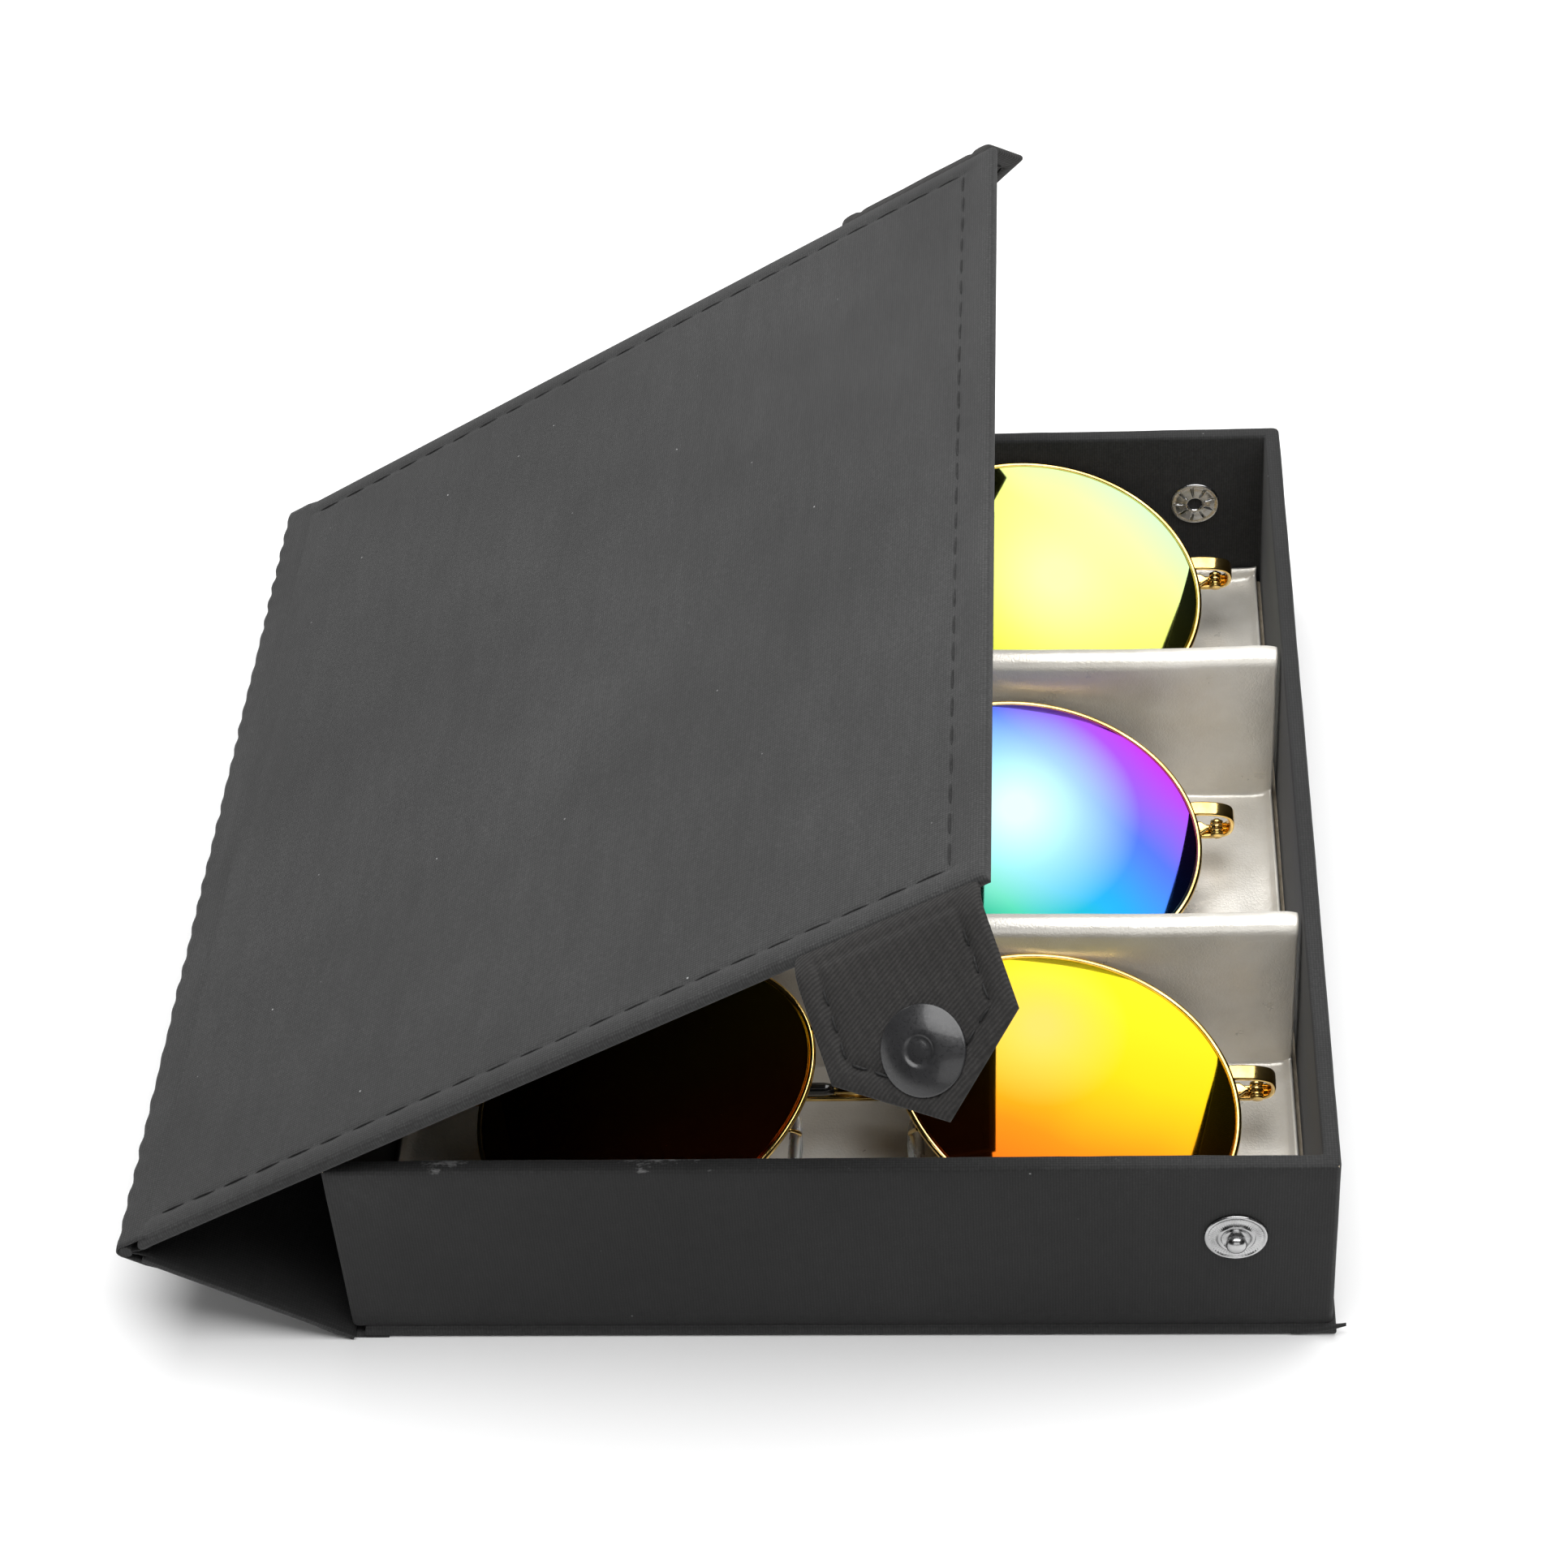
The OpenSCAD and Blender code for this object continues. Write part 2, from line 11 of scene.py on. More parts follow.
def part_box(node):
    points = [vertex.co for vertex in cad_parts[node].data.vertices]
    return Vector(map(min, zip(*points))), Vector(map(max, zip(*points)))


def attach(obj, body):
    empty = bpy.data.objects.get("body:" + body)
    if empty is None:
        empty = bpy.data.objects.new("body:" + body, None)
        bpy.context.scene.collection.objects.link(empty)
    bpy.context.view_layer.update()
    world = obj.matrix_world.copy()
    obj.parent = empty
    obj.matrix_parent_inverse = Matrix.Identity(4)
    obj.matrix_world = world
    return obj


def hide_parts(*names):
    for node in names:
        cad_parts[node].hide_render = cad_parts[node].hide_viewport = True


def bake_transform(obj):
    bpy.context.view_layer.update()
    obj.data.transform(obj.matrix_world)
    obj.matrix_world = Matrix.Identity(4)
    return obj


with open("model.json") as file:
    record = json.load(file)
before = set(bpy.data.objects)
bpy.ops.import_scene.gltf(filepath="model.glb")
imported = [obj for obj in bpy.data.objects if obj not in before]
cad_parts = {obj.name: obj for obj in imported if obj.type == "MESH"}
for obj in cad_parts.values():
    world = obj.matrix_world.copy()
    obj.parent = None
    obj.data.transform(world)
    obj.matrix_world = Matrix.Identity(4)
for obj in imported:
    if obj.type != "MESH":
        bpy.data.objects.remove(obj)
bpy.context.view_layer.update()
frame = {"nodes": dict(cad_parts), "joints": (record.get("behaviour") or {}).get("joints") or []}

MM = 0.001
PAIRS = ("front", "middle", "back")
JOINTS = {joint["name"]: joint for joint in frame["joints"]}
rng = np.random.default_rng(7)


def vec(x, y, z):
    return np.array([x, y, z], float)


def joint_at(name):
    """A joint's place, in millimetres."""
    return np.array(JOINTS[name]["pos_m"]) / MM


def box_mm(node):
    low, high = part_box(node)
    return np.array(low) / MM, np.array(high) / MM


# ---------------------------------------------------------------- places from the frame

LOW_HINGE = joint_at("spine_fold")
HIGH_HINGE = joint_at("lid_hinge_fold")
LEAN = math.radians(-JOINTS["spine_fold"]["range_deg"][0])
TAB_AXIS = -np.array(JOINTS["front_tab_fold"]["axis"])
TILT = math.atan2(TAB_AXIS[2], TAB_AXIS[0])

Y_AXIS = vec(0, 1, 0)
LID_ALONG = vec(math.cos(TILT), 0, math.sin(TILT))
LID_OUT = vec(-math.sin(TILT), 0, math.cos(TILT))
SPINE_ALONG = vec(-math.sin(LEAN), 0, math.cos(LEAN))
SPINE_OUT = vec(-math.cos(LEAN), 0, -math.sin(LEAN))

COVER_HALF = box_mm("lid_cover")[1][1]
PANEL_T = box_mm("base_cover")[1][2]
SPINE_RISE = float((HIGH_HINGE - LOW_HINGE) @ SPINE_ALONG)
LID_LENGTH = float((box_mm("lid_cover")[1] - HIGH_HINGE) @ LID_ALONG) - 0.1
FOLD_ROOM = 3.2
CLOTH_T = 0.35


class Place:
    """A right-handed local frame, in millimetres."""

    def __init__(self, origin, along, across, out):
        self.origin = np.array(origin, float)
        self.axes = np.array([along, across, out], float)

    def point(self, local):
        return self.origin + np.array(local, float) @ self.axes

    def matrix(self):
        m = Matrix.Identity(4)
        for i in range(3):
            for j in range(3):
                m[i][j] = self.axes[j][i]
            m[i][3] = self.origin[i] * MM
        return m


WORLD = Place(vec(0, 0, 0), vec(1, 0, 0), Y_AXIS, vec(0, 0, 1))
LID = Place(HIGH_HINGE, LID_ALONG, Y_AXIS, LID_OUT)
SPINE = Place(LOW_HINGE, SPINE_ALONG, Y_AXIS, SPINE_OUT)


# ---------------------------------------------------------------- node materials

def put(tree, socket, value):
    if isinstance(value, bpy.types.NodeSocket):
        tree.links.new(value, socket)
    else:
        socket.default_value = value


def node(tree, kind, props=None, **inputs):
    made = tree.nodes.new("ShaderNode" + kind)
    for key, value in (props or {}).items():
        setattr(made, key, value)
    for key, value in inputs.items():
        numbered = key[0] == "i" and key[1:].isdigit()
        put(tree, made.inputs[int(key[1:]) if numbered else key], value)
    return made


def ramp(tree, fac, stops):
    made = tree.nodes.new("ShaderNodeValToRGB")
    points = made.color_ramp.elements
    while len(points) < len(stops):
        points.new(0.5)
    for point, (at, colour) in zip(points, stops):
        point.position = at
        point.color = (*colour, 1) if len(colour) == 3 else colour
    tree.links.new(fac, made.inputs[0])
    return made.outputs[0]


def grey(value):
    return (value, value, value)


def noise_at(tree, coords, size_mm, detail=3.0, rough=0.55, stretch=None):
    if stretch is not None:
        coords = node(tree, "Mapping", Vector=coords, Scale=stretch).outputs[0]
    made = node(tree, "TexNoise", Vector=coords, Scale=1000 / size_mm, Detail=detail, Roughness=rough)
    return made.outputs[0]


def math_node(tree, kind, a, b=0.0):
    return node(tree, "Math", {"operation": kind}, i0=a, i1=b).outputs[0]


def plus(tree, a, b):
    return math_node(tree, "ADD", a, b)


def times(tree, a, b):
    return math_node(tree, "MULTIPLY", a, b)


def blend_of(tree, *shares):
    """The sum of several textures, each given with its share."""
    total = times(tree, *shares[0])
    for texture, share in shares[1:]:
        total = plus(tree, total, times(tree, texture, share))
    return total


def shade(tree, shader, socket, fac, stops):
    tree.links.new(ramp(tree, fac, stops), shader.inputs[socket])


def mix(tree, fac, a, b, blend="MIX"):
    made = node(tree, "Mix", {"data_type": "RGBA", "blend_type": blend}, i0=fac)
    put(tree, made.inputs[6], a if isinstance(a, bpy.types.NodeSocket) else (*a, 1))
    put(tree, made.inputs[7], b if isinstance(b, bpy.types.NodeSocket) else (*b, 1))
    return made.outputs[2]


def new_material(name):
    mat = bpy.data.materials.new(name)
    mat.use_nodes = True
    tree = mat.node_tree
    shader = tree.nodes["Principled BSDF"]
    coords = node(tree, "TexCoord").outputs["Object"]
    return mat, tree, shader, coords


def bump(tree, shader, height, depth_mm, strength=1.0):
    made = node(tree, "Bump", Height=height, Strength=strength, Distance=depth_mm * MM)
    tree.links.new(made.outputs[0], shader.inputs["Normal"])


def weave(tree, coords, pitch_mm, twill=0.0):
    """Threads over and under each other, or the slanting ribs of a twill."""
    scale = 0.3142 / (pitch_mm * MM)
    wave = {"wave_type": "BANDS", "wave_profile": "SIN"}
    turned = node(tree, "Mapping", Vector=coords, Rotation=(0, 0, twill)).outputs[0]
    warp = node(tree, "TexWave", {**wave, "bands_direction": "X"}, Vector=turned, Scale=scale,
                Distortion=0.6, Detail=1.0).outputs[1]
    weft = node(tree, "TexWave", {**wave, "bands_direction": "Y"}, Vector=turned,
                Scale=scale * (0.35 if twill else 1), Distortion=0.6, Detail=1.0).outputs[1]
    if twill:
        return blend_of(tree, (warp, 0.8), (weft, 0.2))
    return blend_of(tree, (warp, 0.5), (weft, 0.5))


def cloth(name, tone, pitch_mm=0.5, twill=0.0, lint=1.0, scuff_at=None, warm=(1.0, 1.0, 1.0), sheen=0.06):
    mat, tree, shader, coords = new_material(name)
    threads = weave(tree, coords, pitch_mm, twill)
    grain = noise_at(tree, coords, 0.5, 2.0, 0.7)
    patch = noise_at(tree, coords, 60, 3.0)
    slub = noise_at(tree, coords, 3.0, 2.0, 0.6, (1, 0.15, 1))
    mottle = blend_of(tree, (threads, 0.22), (grain, 0.55), (patch, 0.3), (slub, 0.12))
    levels = ((0.30, 0.45), (0.60, 1), (0.85, 1.9))
    colour = ramp(tree, mottle, [(at, [tone * k * w for w in warm]) for at, k in levels])
    flecks = node(tree, "TexVoronoi", {"feature": "F1"}, Vector=coords, Scale=165.0, Randomness=1.0)
    speck = ramp(tree, flecks.outputs["Distance"], [(0.018, grey(1)), (0.04, grey(0))])
    keep = ramp(tree, node(tree, "TexNoise", Vector=coords, Scale=90.0, Detail=2.0).outputs[0],
                [(0.48, grey(0)), (0.58, grey(lint))])
    colour = mix(tree, mix(tree, 1.0, speck, keep, "MULTIPLY"), colour, grey(0.36))
    if scuff_at is not None:
        colour = mix(tree, scuff_at(tree, coords), colour, grey(0.30))
    tree.links.new(colour, shader.inputs["Base Color"])
    shade(tree, shader, "Roughness", grain, [(0.3, grey(0.72)), (0.7, grey(0.9))])
    shader.inputs["Specular IOR Level"].default_value = 0.22
    shader.inputs["Sheen Weight"].default_value = sheen
    shader.inputs["Sheen Roughness"].default_value = 0.45
    bump(tree, shader, plus(tree, threads, times(tree, grain, 0.8)), 0.07 if twill else 0.05)
    return mat


def metal(name, colour, deep, rough):
    mat, tree, shader, coords = new_material(name)
    tarnish = noise_at(tree, coords, 6.0, 4.0)
    fine = noise_at(tree, coords, 0.8, 3.0)
    shade(tree, shader, "Base Color", tarnish, [(0.35, deep), (0.62, colour)])
    shade(tree, shader, "Roughness", fine, [(0.3, grey(rough * 0.75)), (0.7, grey(rough * 1.35))])
    shader.inputs["Metallic"].default_value = 1.0
    bump(tree, shader, fine, 0.01)
    return mat


def plastic(name, colour, rough, coat=0.0, spread=1.5, depth_mm=0.01):
    mat, tree, shader, coords = new_material(name)
    cloud = noise_at(tree, coords, 5, 4.0)
    fine = noise_at(tree, coords, 0.6, 3.0)
    shade(tree, shader, "Base Color", cloud,
          [(0.3, [c / spread for c in colour]), (0.7, [c * spread for c in colour])])
    shade(tree, shader, "Roughness", fine, [(0.3, grey(rough * 0.8)), (0.7, grey(rough * 1.25))])
    shader.inputs["Coat Weight"].default_value = coat
    shader.inputs["Coat Roughness"].default_value = 0.08
    bump(tree, shader, fine, depth_mm)
    return mat


def leatherette(name):
    mat, tree, shader, coords = new_material(name)
    pebbles = node(tree, "TexVoronoi", {"feature": "DISTANCE_TO_EDGE"}, Vector=coords, Scale=1300.0)
    creases = noise_at(tree, coords, 9, 4.0, 0.6)
    cloud = noise_at(tree, coords, 40, 2.0)
    mottle = blend_of(tree, (creases, 0.5), (cloud, 0.5))
    shade(tree, shader, "Base Color", mottle, [(0.3, (0.72, 0.68, 0.60)), (0.7, (0.93, 0.90, 0.84))])
    shade(tree, shader, "Roughness", creases, [(0.3, grey(0.26)), (0.7, grey(0.42))])
    shader.inputs["Metallic"].default_value = 0.35
    shader.inputs["Sheen Weight"].default_value = 0.1
    edge = ramp(tree, pebbles.outputs[0], [(0.0, grey(0)), (0.18, grey(1))])
    bump(tree, shader, blend_of(tree, (edge, 0.25), (creases, 2.0)), 0.06)
    return mat


def silicone(name):
    mat, tree, shader, coords = new_material(name)
    cloud = noise_at(tree, coords, 3, 3.0)
    shade(tree, shader, "Base Color", cloud, [(0.3, (0.86, 0.86, 0.84)), (0.7, (0.97, 0.97, 0.96))])
    shade(tree, shader, "Roughness", cloud, [(0.3, grey(0.16)), (0.7, grey(0.34))])
    shader.inputs["Transmission Weight"].default_value = 0.72
    shader.inputs["IOR"].default_value = 1.41
    shader.inputs["Subsurface Weight"].default_value = 0.1
    bump(tree, shader, noise_at(tree, coords, 0.7, 2.0), 0.03)
    return mat


def card_board(name):
    mat, tree, shader, coords = new_material(name)
    fibres = noise_at(tree, coords, 0.9, 4.0, 0.7, (1, 0.3, 1))
    shade(tree, shader, "Base Color", fibres, [(0.3, (0.30, 0.25, 0.18)), (0.7, (0.50, 0.43, 0.33))])
    shader.inputs["Roughness"].default_value = 0.9
    bump(tree, shader, fibres, 0.05)
    return mat


def mirror_coat(name, stops, slope, highlight_colour, highlight_at, highlight_mm, strength=0.32):
    """A mirror coating whose colour drifts across either lens, with a painted highlight that is palest round
    a point near its middle.

    slope is how far the colour moves across and up the lens, and where it starts.
    """
    mat, tree, shader, coords = new_material(name)
    parts = node(tree, "SeparateXYZ", Vector=coords)
    outwards = math_node(tree, "ABSOLUTE", parts.outputs[0])
    folded = node(tree, "CombineXYZ", i0=outwards, i1=parts.outputs[1], i2=0.0).outputs[0]
    drift = noise_at(tree, coords, 30, 2.0)
    across = times(tree, outwards, 1 / (64 * MM))
    up = times(tree, parts.outputs[1], 1 / (54 * MM))
    slant = blend_of(tree, (across, slope[0]), (up, slope[1]), (drift, 0.12))
    colour = ramp(tree, plus(tree, slant, slope[2]), stops)
    # painted highlight: the lens colour is mixed towards a paler colour round a point near the lens middle
    away = node(tree, "VectorMath", {"operation": "DISTANCE"}, i0=folded, i1=[c * MM for c in highlight_at])
    highlight_mask = ramp(tree, times(tree, away.outputs["Value"], 1 / (highlight_mm * MM)),
                [(0.12, grey(1)), (0.55, grey(0.45)), (1.0, grey(0))])
    colour = mix(tree, 1.0, mix(tree, highlight_mask, colour, highlight_colour), grey(strength), "MULTIPLY")
    tree.links.new(colour, shader.inputs["Base Color"])
    shade(tree, shader, "Roughness", drift, [(0.3, grey(0.02)), (0.7, grey(0.045))])
    shader.inputs["Metallic"].default_value = 1.0
    return mat


def worn_top(tree, coords):
    """Pale scuffs along the top edge of the front wall, where the cloth has rubbed."""
    parts = node(tree, "SeparateXYZ", Vector=coords)
    wall_low, wall_high = box_mm("tray_wrap")
    up = times(tree, parts.outputs[2], 1 / (wall_high[2] * MM))
    back = times(tree, parts.outputs[1], 1 / ((wall_high[1] - wall_low[1]) * MM))
    high = ramp(tree, up, [(0.962, grey(0)), (0.992, grey(1))])
    front = ramp(tree, plus(tree, back, 0.5), [(0.016, grey(1)), (0.03, grey(0))])
    blots = ramp(tree, noise_at(tree, coords, 6, 5.0, 0.75, (0.5, 1, 1)),
                 [(0.60, grey(0)), (0.67, grey(0.45))])
    return mix(tree, 1.0, mix(tree, 1.0, high, front, "MULTIPLY"), blots, "MULTIPLY")


LID_CLOTH = cloth("charcoal_cloth", 0.033)
WALL_CLOTH = cloth("black_cloth", 0.024, lint=0.7, scuff_at=worn_top)
PLAIN_CLOTH = cloth("lining_cloth", 0.012, lint=0.3)
TWILL = cloth("twill", 0.021, 0.62, math.radians(62), lint=0.3, warm=(1.05, 1.0, 0.97), sheen=0.04)
THREAD = plastic("thread", (0.006, 0.006, 0.006), 0.8)
LINER = leatherette("silver_leatherette")
GOLD = metal("gold_plate", (0.92, 0.66, 0.24), (0.66, 0.42, 0.11), 0.13)
STEEL = metal("nickel_plate", (0.50, 0.50, 0.50), (0.34, 0.34, 0.34), 0.22)
CAP_PAINT = plastic("cap_enamel", (0.020, 0.020, 0.021), 0.30, 0.25, 1.2, 0.02)
ACETATE = plastic("black_acetate", (0.008, 0.008, 0.008), 0.12, 0.5)
PAD_GEL = silicone("pad_silicone")
BOARD = card_board("grey_board")
# the fourth to sixth arguments of each lens give its painted highlight: the pale colour, its middle and its
# size, in millimetres
LENSES = {
    "front": mirror_coat("orange_mirror", [(0.12, (0.90, 0.10, 0.01)), (0.38, (0.95, 0.26, 0.01)),
                                           (0.66, (0.95, 0.62, 0.01)), (1.0, (0.95, 0.80, 0.02))],
                         (0.35, 0.95, 0.28), (0.95, 0.62, 0.12), (34, 12, 0), 16),
    "middle": mirror_coat("blue_mirror", [(0.0, (0.0, 0.25, 0.12)), (0.22, (0.01, 0.52, 0.30)),
                                          (0.46, (0.02, 0.36, 0.80)), (0.68, (0.08, 0.16, 0.90)),
                                          (0.94, (0.50, 0.03, 0.72))],
                          (0.75, 0.62, -0.02), (0.62, 1.0, 1.0), (34, 2, 0), 24),
    "back": mirror_coat("lime_mirror", [(0.0, (0.50, 0.60, 0.01)), (0.3, (0.80, 0.90, 0.02)),
                                        (0.62, (0.86, 0.94, 0.22)), (0.95, (0.50, 0.98, 0.72))],
                        (0.55, 0.55, 0.10), (0.95, 0.95, 0.40), (40, 0, 0), 26, 0.29),
}


# ---------------------------------------------------------------- mesh builders

def build(name, verts, faces, mat, place=WORLD, smooth=True):
    """A mesh piece whose own space is the place's local frame. verts in millimetres."""
    mesh = bpy.data.meshes.new(name)
    points = [tuple(float(c) * MM for c in v) for v in verts]
    mesh.from_pydata(points, [], [tuple(int(i) for i in f) for f in faces])
    mesh.validate()
    mesh.update()
    mesh.materials.append(mat)
    made = bpy.data.objects.new(name, mesh)
    bpy.context.scene.collection.objects.link(made)
    made.matrix_world = place.matrix()
    if smooth:
        mesh.polygons.foreach_set("use_smooth", [True] * len(mesh.polygons))
    return made


def fit(piece, body, slot, *nodes):
    """Carries a piece on its body, in place of the CAD nodes that it stands for."""
    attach(piece, body)
    if nodes:
        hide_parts(*nodes)
    return piece


def join(parts):
    """One list of vertices and one of faces from several pairs of them."""
    verts, faces = [], []
    for part_verts, part_faces in parts:
        start = len(verts)
        verts.extend(part_verts)
        faces.extend([[i + start for i in face] for face in part_faces])
    return verts, faces


def loft(rings, closed=True, caps=False, round_trip=False):
    """Skin over a list of rings with the same number of points."""
    count, size = len(rings), len(rings[0])
    verts = [p for ring in rings for p in ring]
    faces = []
    for i in range(count if round_trip else count - 1):
        k = (i + 1) % count
        for j in range(size if closed else size - 1):
            m = (j + 1) % size
            faces.append([i * size + j, k * size + j, k * size + m, i * size + m])
    if caps:
        faces.append(list(range(size)))
        faces.append([(count - 1) * size + j for j in reversed(range(size))])
    return verts, faces


def unit(v):
    return v / np.linalg.norm(v)


def sweep(path, section, ref, closed=False, scale=None):
    """Carries a flat section, given as (side, up) pairs, along the path."""
    path = [np.array(p, float) for p in path]
    count = len(path)
    rings = []
    for i, p in enumerate(path):
        after = path[(i + 1) % count] if closed else path[min(i + 1, count - 1)]
        before = path[i - 1] if closed else path[max(i - 1, 0)]
        along = unit(after - before)
        side = unit(np.cross(along, ref))
        up = np.cross(side, along)
        k = 1.0 if scale is None else scale(i / (count - 1))
        rings.append([p + k * (a * side + b * up) for a, b in section])
    return loft(rings, caps=not closed, round_trip=closed)


QUADRANTS = ((1, 1), (-1, 1), (-1, -1), (1, -1))


def circle(r, n=12, r2=None):
    return [(r * math.cos(2 * math.pi * i / n), (r2 or r) * math.sin(2 * math.pi * i / n)) for i in range(n)]


def rounded_rect(w, h, r, n=4):
    pts = []
    for turn, (sx, sy) in enumerate(QUADRANTS):
        for k in range(n + 1):
            a = math.radians(90 * (turn + k / n))
            pts.append((sx * (w / 2 - r) + r * math.cos(a), sy * (h / 2 - r) + r * math.sin(a)))
    return pts


def lathe(profile, steps=96, relief=None):
    """Turns a profile of (r, z) pairs round the local z axis, from its outer foot to the axis."""
    rings = []
    for r, z in profile:
        rings.append([vec(r * math.cos(t), r * math.sin(t), z + (relief(r, t) if relief else 0))
                      for t in (2 * math.pi * k / steps for k in range(steps))])
    return loft(rings, caps=True)


def smooth_path(points, steps=8, closed=False):
    """Catmull-Rom curve through the points."""
    pts = [np.array(p, float) for p in points]
    n = len(pts)
    out = []
    for i in range(n if closed else n - 1):
        p0 = pts[i - 1] if (closed or i > 0) else 2 * pts[0] - pts[1]
        p1, p2 = pts[i], pts[(i + 1) % n]
        p3 = pts[(i + 2) % n] if (closed or i + 2 < n) else 2 * pts[-1] - pts[-2]
        for k in range(steps):
            t = k / steps
            out.append(0.5 * (2 * p1 + (p2 - p0) * t + (2 * p0 - 5 * p1 + 4 * p2 - p3) * t * t
                              + (3 * p1 - p0 - 3 * p2 + p3) * t ** 3))
    if not closed:
        out.append(pts[-1])
    return out


def wander(x, y, z=0.0, size=1.0):
    """Smooth noise from -1 to 1 with bumps of about the given size, in millimetres."""
    return noise.noise(Vector((x / size, y / size, z / size)))


def grid_lines(low, high, step, edge, rows=4):
    """Lines across a panel, close together where its edge rounds over."""
    near = [edge * (1 - math.cos(math.radians(90 * k / rows))) for k in range(rows + 1)]
    middle = list(np.linspace(low + edge, high - edge, max(2, int((high - low - 2 * edge) / step)) + 1))
    return [low + k for k in near[:-1]] + middle + [high - k for k in reversed(near[:-1])]


def edge_lines(low, high, step, edge, lines, near=1.6, fine=0.4):
    """Grid lines with extra ones beside each of the given lines."""
    kept = [x for x in grid_lines(low, high, step, edge) if all(abs(x - c) > near for c in lines)]
    extra = [c + k * fine for c in lines for k in range(-int(near / fine), int(near / fine) + 1)]
    return sorted(kept + [x for x in extra if low + edge < x < high - edge])


def lined_panel(us, vs, thick, top=None, bottom=None, centre=0.0, edge=None):
    """A padded board with round edges, on the given grid lines. top and bottom add relief."""
    edge = edge or thick / 2
    verts, faces = [], []
    index = {1: {}, -1: {}}
    last_u, last_v = len(us) - 1, len(vs) - 1
    for side, relief in ((1, top), (-1, bottom)):
        for i, u in enumerate(us):
            for j, v in enumerate(vs):
                if side == -1 and (i in (0, last_u) or j in (0, last_v)):
                    index[-1][i, j] = index[1][i, j]
                    continue
                k = min(min(u - us[0], us[-1] - u, v - vs[0], vs[-1] - v) / edge, 1)
                h = thick / 2 * math.sqrt(max(0.0, 1 - (1 - k) ** 2))
                if relief:
                    h += relief(u, v) * k
                index[side][i, j] = len(verts)
                verts.append(vec(u, v, centre + side * h))
        at = index[side]
        for i in range(last_u):
            for j in range(last_v):
                quad = [at[i, j], at[i + 1, j], at[i + 1, j + 1], at[i, j + 1]]
                faces.append(quad if side == 1 else quad[::-1])
    return verts, faces


def panel(u_span, v_span, thick, step, edge=None, **shape):
    """A padded board on even grid lines."""
    us, vs = (grid_lines(*span, step, edge or thick / 2) for span in (u_span, v_span))
    return lined_panel(us, vs, thick, edge=edge, **shape)


STITCH_PITCH = 7.0
STITCH_LENGTH = 5.7
THREAD_R = 0.2


def stitch_row(start, end, pitch=STITCH_PITCH, length=STITCH_LENGTH, height=0.0,
               out=vec(0, 0, 1), r=THREAD_R):
    """Separate thread spans from start to end, each dipping into the cloth at both ends."""
    start, end = np.array(start, float), np.array(end, float)
    span = np.linalg.norm(end - start)
    along = (end - start) / span
    side = np.cross(out, along)
    parts = []
    count = max(1, int(span / pitch))
    for i in range(count):
        first = (i + 0.5) * span / count - length / 2
        sway = rng.uniform(-0.12, 0.12, 2)
        pts = []
        for k in range(9):
            t = k / 8
            lift = -0.26 + 0.30 * math.sin(math.pi * t) ** 0.6
            drift = side * (sway[0] * (1 - t) + sway[1] * t)
            pts.append(start + along * (first + t * length) + drift + out * (height + lift))
        parts.append(sweep(pts, circle(r, 8), out, scale=lambda t: 1 - 0.35 * abs(2 * t - 1) ** 3))
    return join(parts)


# ---------------------------------------------------------------- camera, light and floor

CAMERA_AT = vec(42.415, -534.372, 520.021)
CAMERA_DOWN = math.radians(41.89)
CAMERA_YAW = math.radians(-5.860)
CAMERA_ROLL = math.radians(-4.710)
CAMERA_LENS = 85.49


def make_camera():
    level = vec(math.sin(CAMERA_YAW), math.cos(CAMERA_YAW), 0)
    forward = level * math.cos(CAMERA_DOWN) - vec(0, 0, math.sin(CAMERA_DOWN))
    right = vec(math.cos(CAMERA_YAW), -math.sin(CAMERA_YAW), 0)
    up = np.cross(right, forward)
    right_2 = right * math.cos(CAMERA_ROLL) + up * math.sin(CAMERA_ROLL)
    up_2 = -right * math.sin(CAMERA_ROLL) + up * math.cos(CAMERA_ROLL)
    data = bpy.data.cameras.new("camera")
    data.lens = CAMERA_LENS
    data.sensor_width = 36
    data.clip_start = 0.01
    camera = bpy.data.objects.new("camera", data)
    camera.matrix_world = Place(CAMERA_AT, right_2, up_2, -forward).matrix()
    bpy.context.scene.collection.objects.link(camera)
    bpy.context.scene.camera = camera


def area_light(name, at, aim, size, power, spin=0.0):
    data = bpy.data.lights.new(name, "AREA")
    data.shape = "RECTANGLE"
    data.size, data.size_y = size[0] * MM, size[1] * MM
    data.energy = power
    light = bpy.data.objects.new(name, data)
    light.location = [c * MM for c in at]
    spun = Matrix.Rotation(math.radians(spin), 3, "Z").to_quaternion()
    light.rotation_euler = ((Vector(aim) - Vector(at)).to_track_quat("-Z", "Y") @ spun).to_euler()
    bpy.context.scene.collection.objects.link(light)


def make_studio():
    size = 3000
    corners = [vec(x * size, y * size, 0) for x, y in ((-1, -1), (1, -1), (1, 1), (-1, 1))]
    floor = build("floor", corners, [[0, 1, 2, 3]], floor_material(), smooth=False)
    area_light("softbox_top", (116, 27, 760), (116, 27, 0), (1100, 1000), 15, -8)
    area_light("fill_front", (100, -1300, 500), (0, 0, 30), (1200, 700), 3)
    area_light("back_left", (-700, 1300, 420), (0, 0, 60), (1200, 600), 6)
    world = bpy.data.worlds.new("studio")
    world.use_nodes = True
    world.node_tree.nodes["Background"].inputs[0].default_value = (1, 1, 1, 1)
    world.node_tree.nodes["Background"].inputs[1].default_value = 0.02
    bpy.context.scene.world = world


def floor_material():
    mat, tree, shader, coords = new_material("pale_floor")
    cloud = noise_at(tree, coords, 300, 2.0)
    shade(tree, shader, "Base Color", cloud, [(0.3, grey(0.86)), (0.7, grey(0.9))])
    shader.inputs["Roughness"].default_value = 0.7
    return mat


bpy.context.scene.view_settings.view_transform = "Standard"
make_camera()
make_studio()


# ---------------------------------------------------------------- lid, spine and base

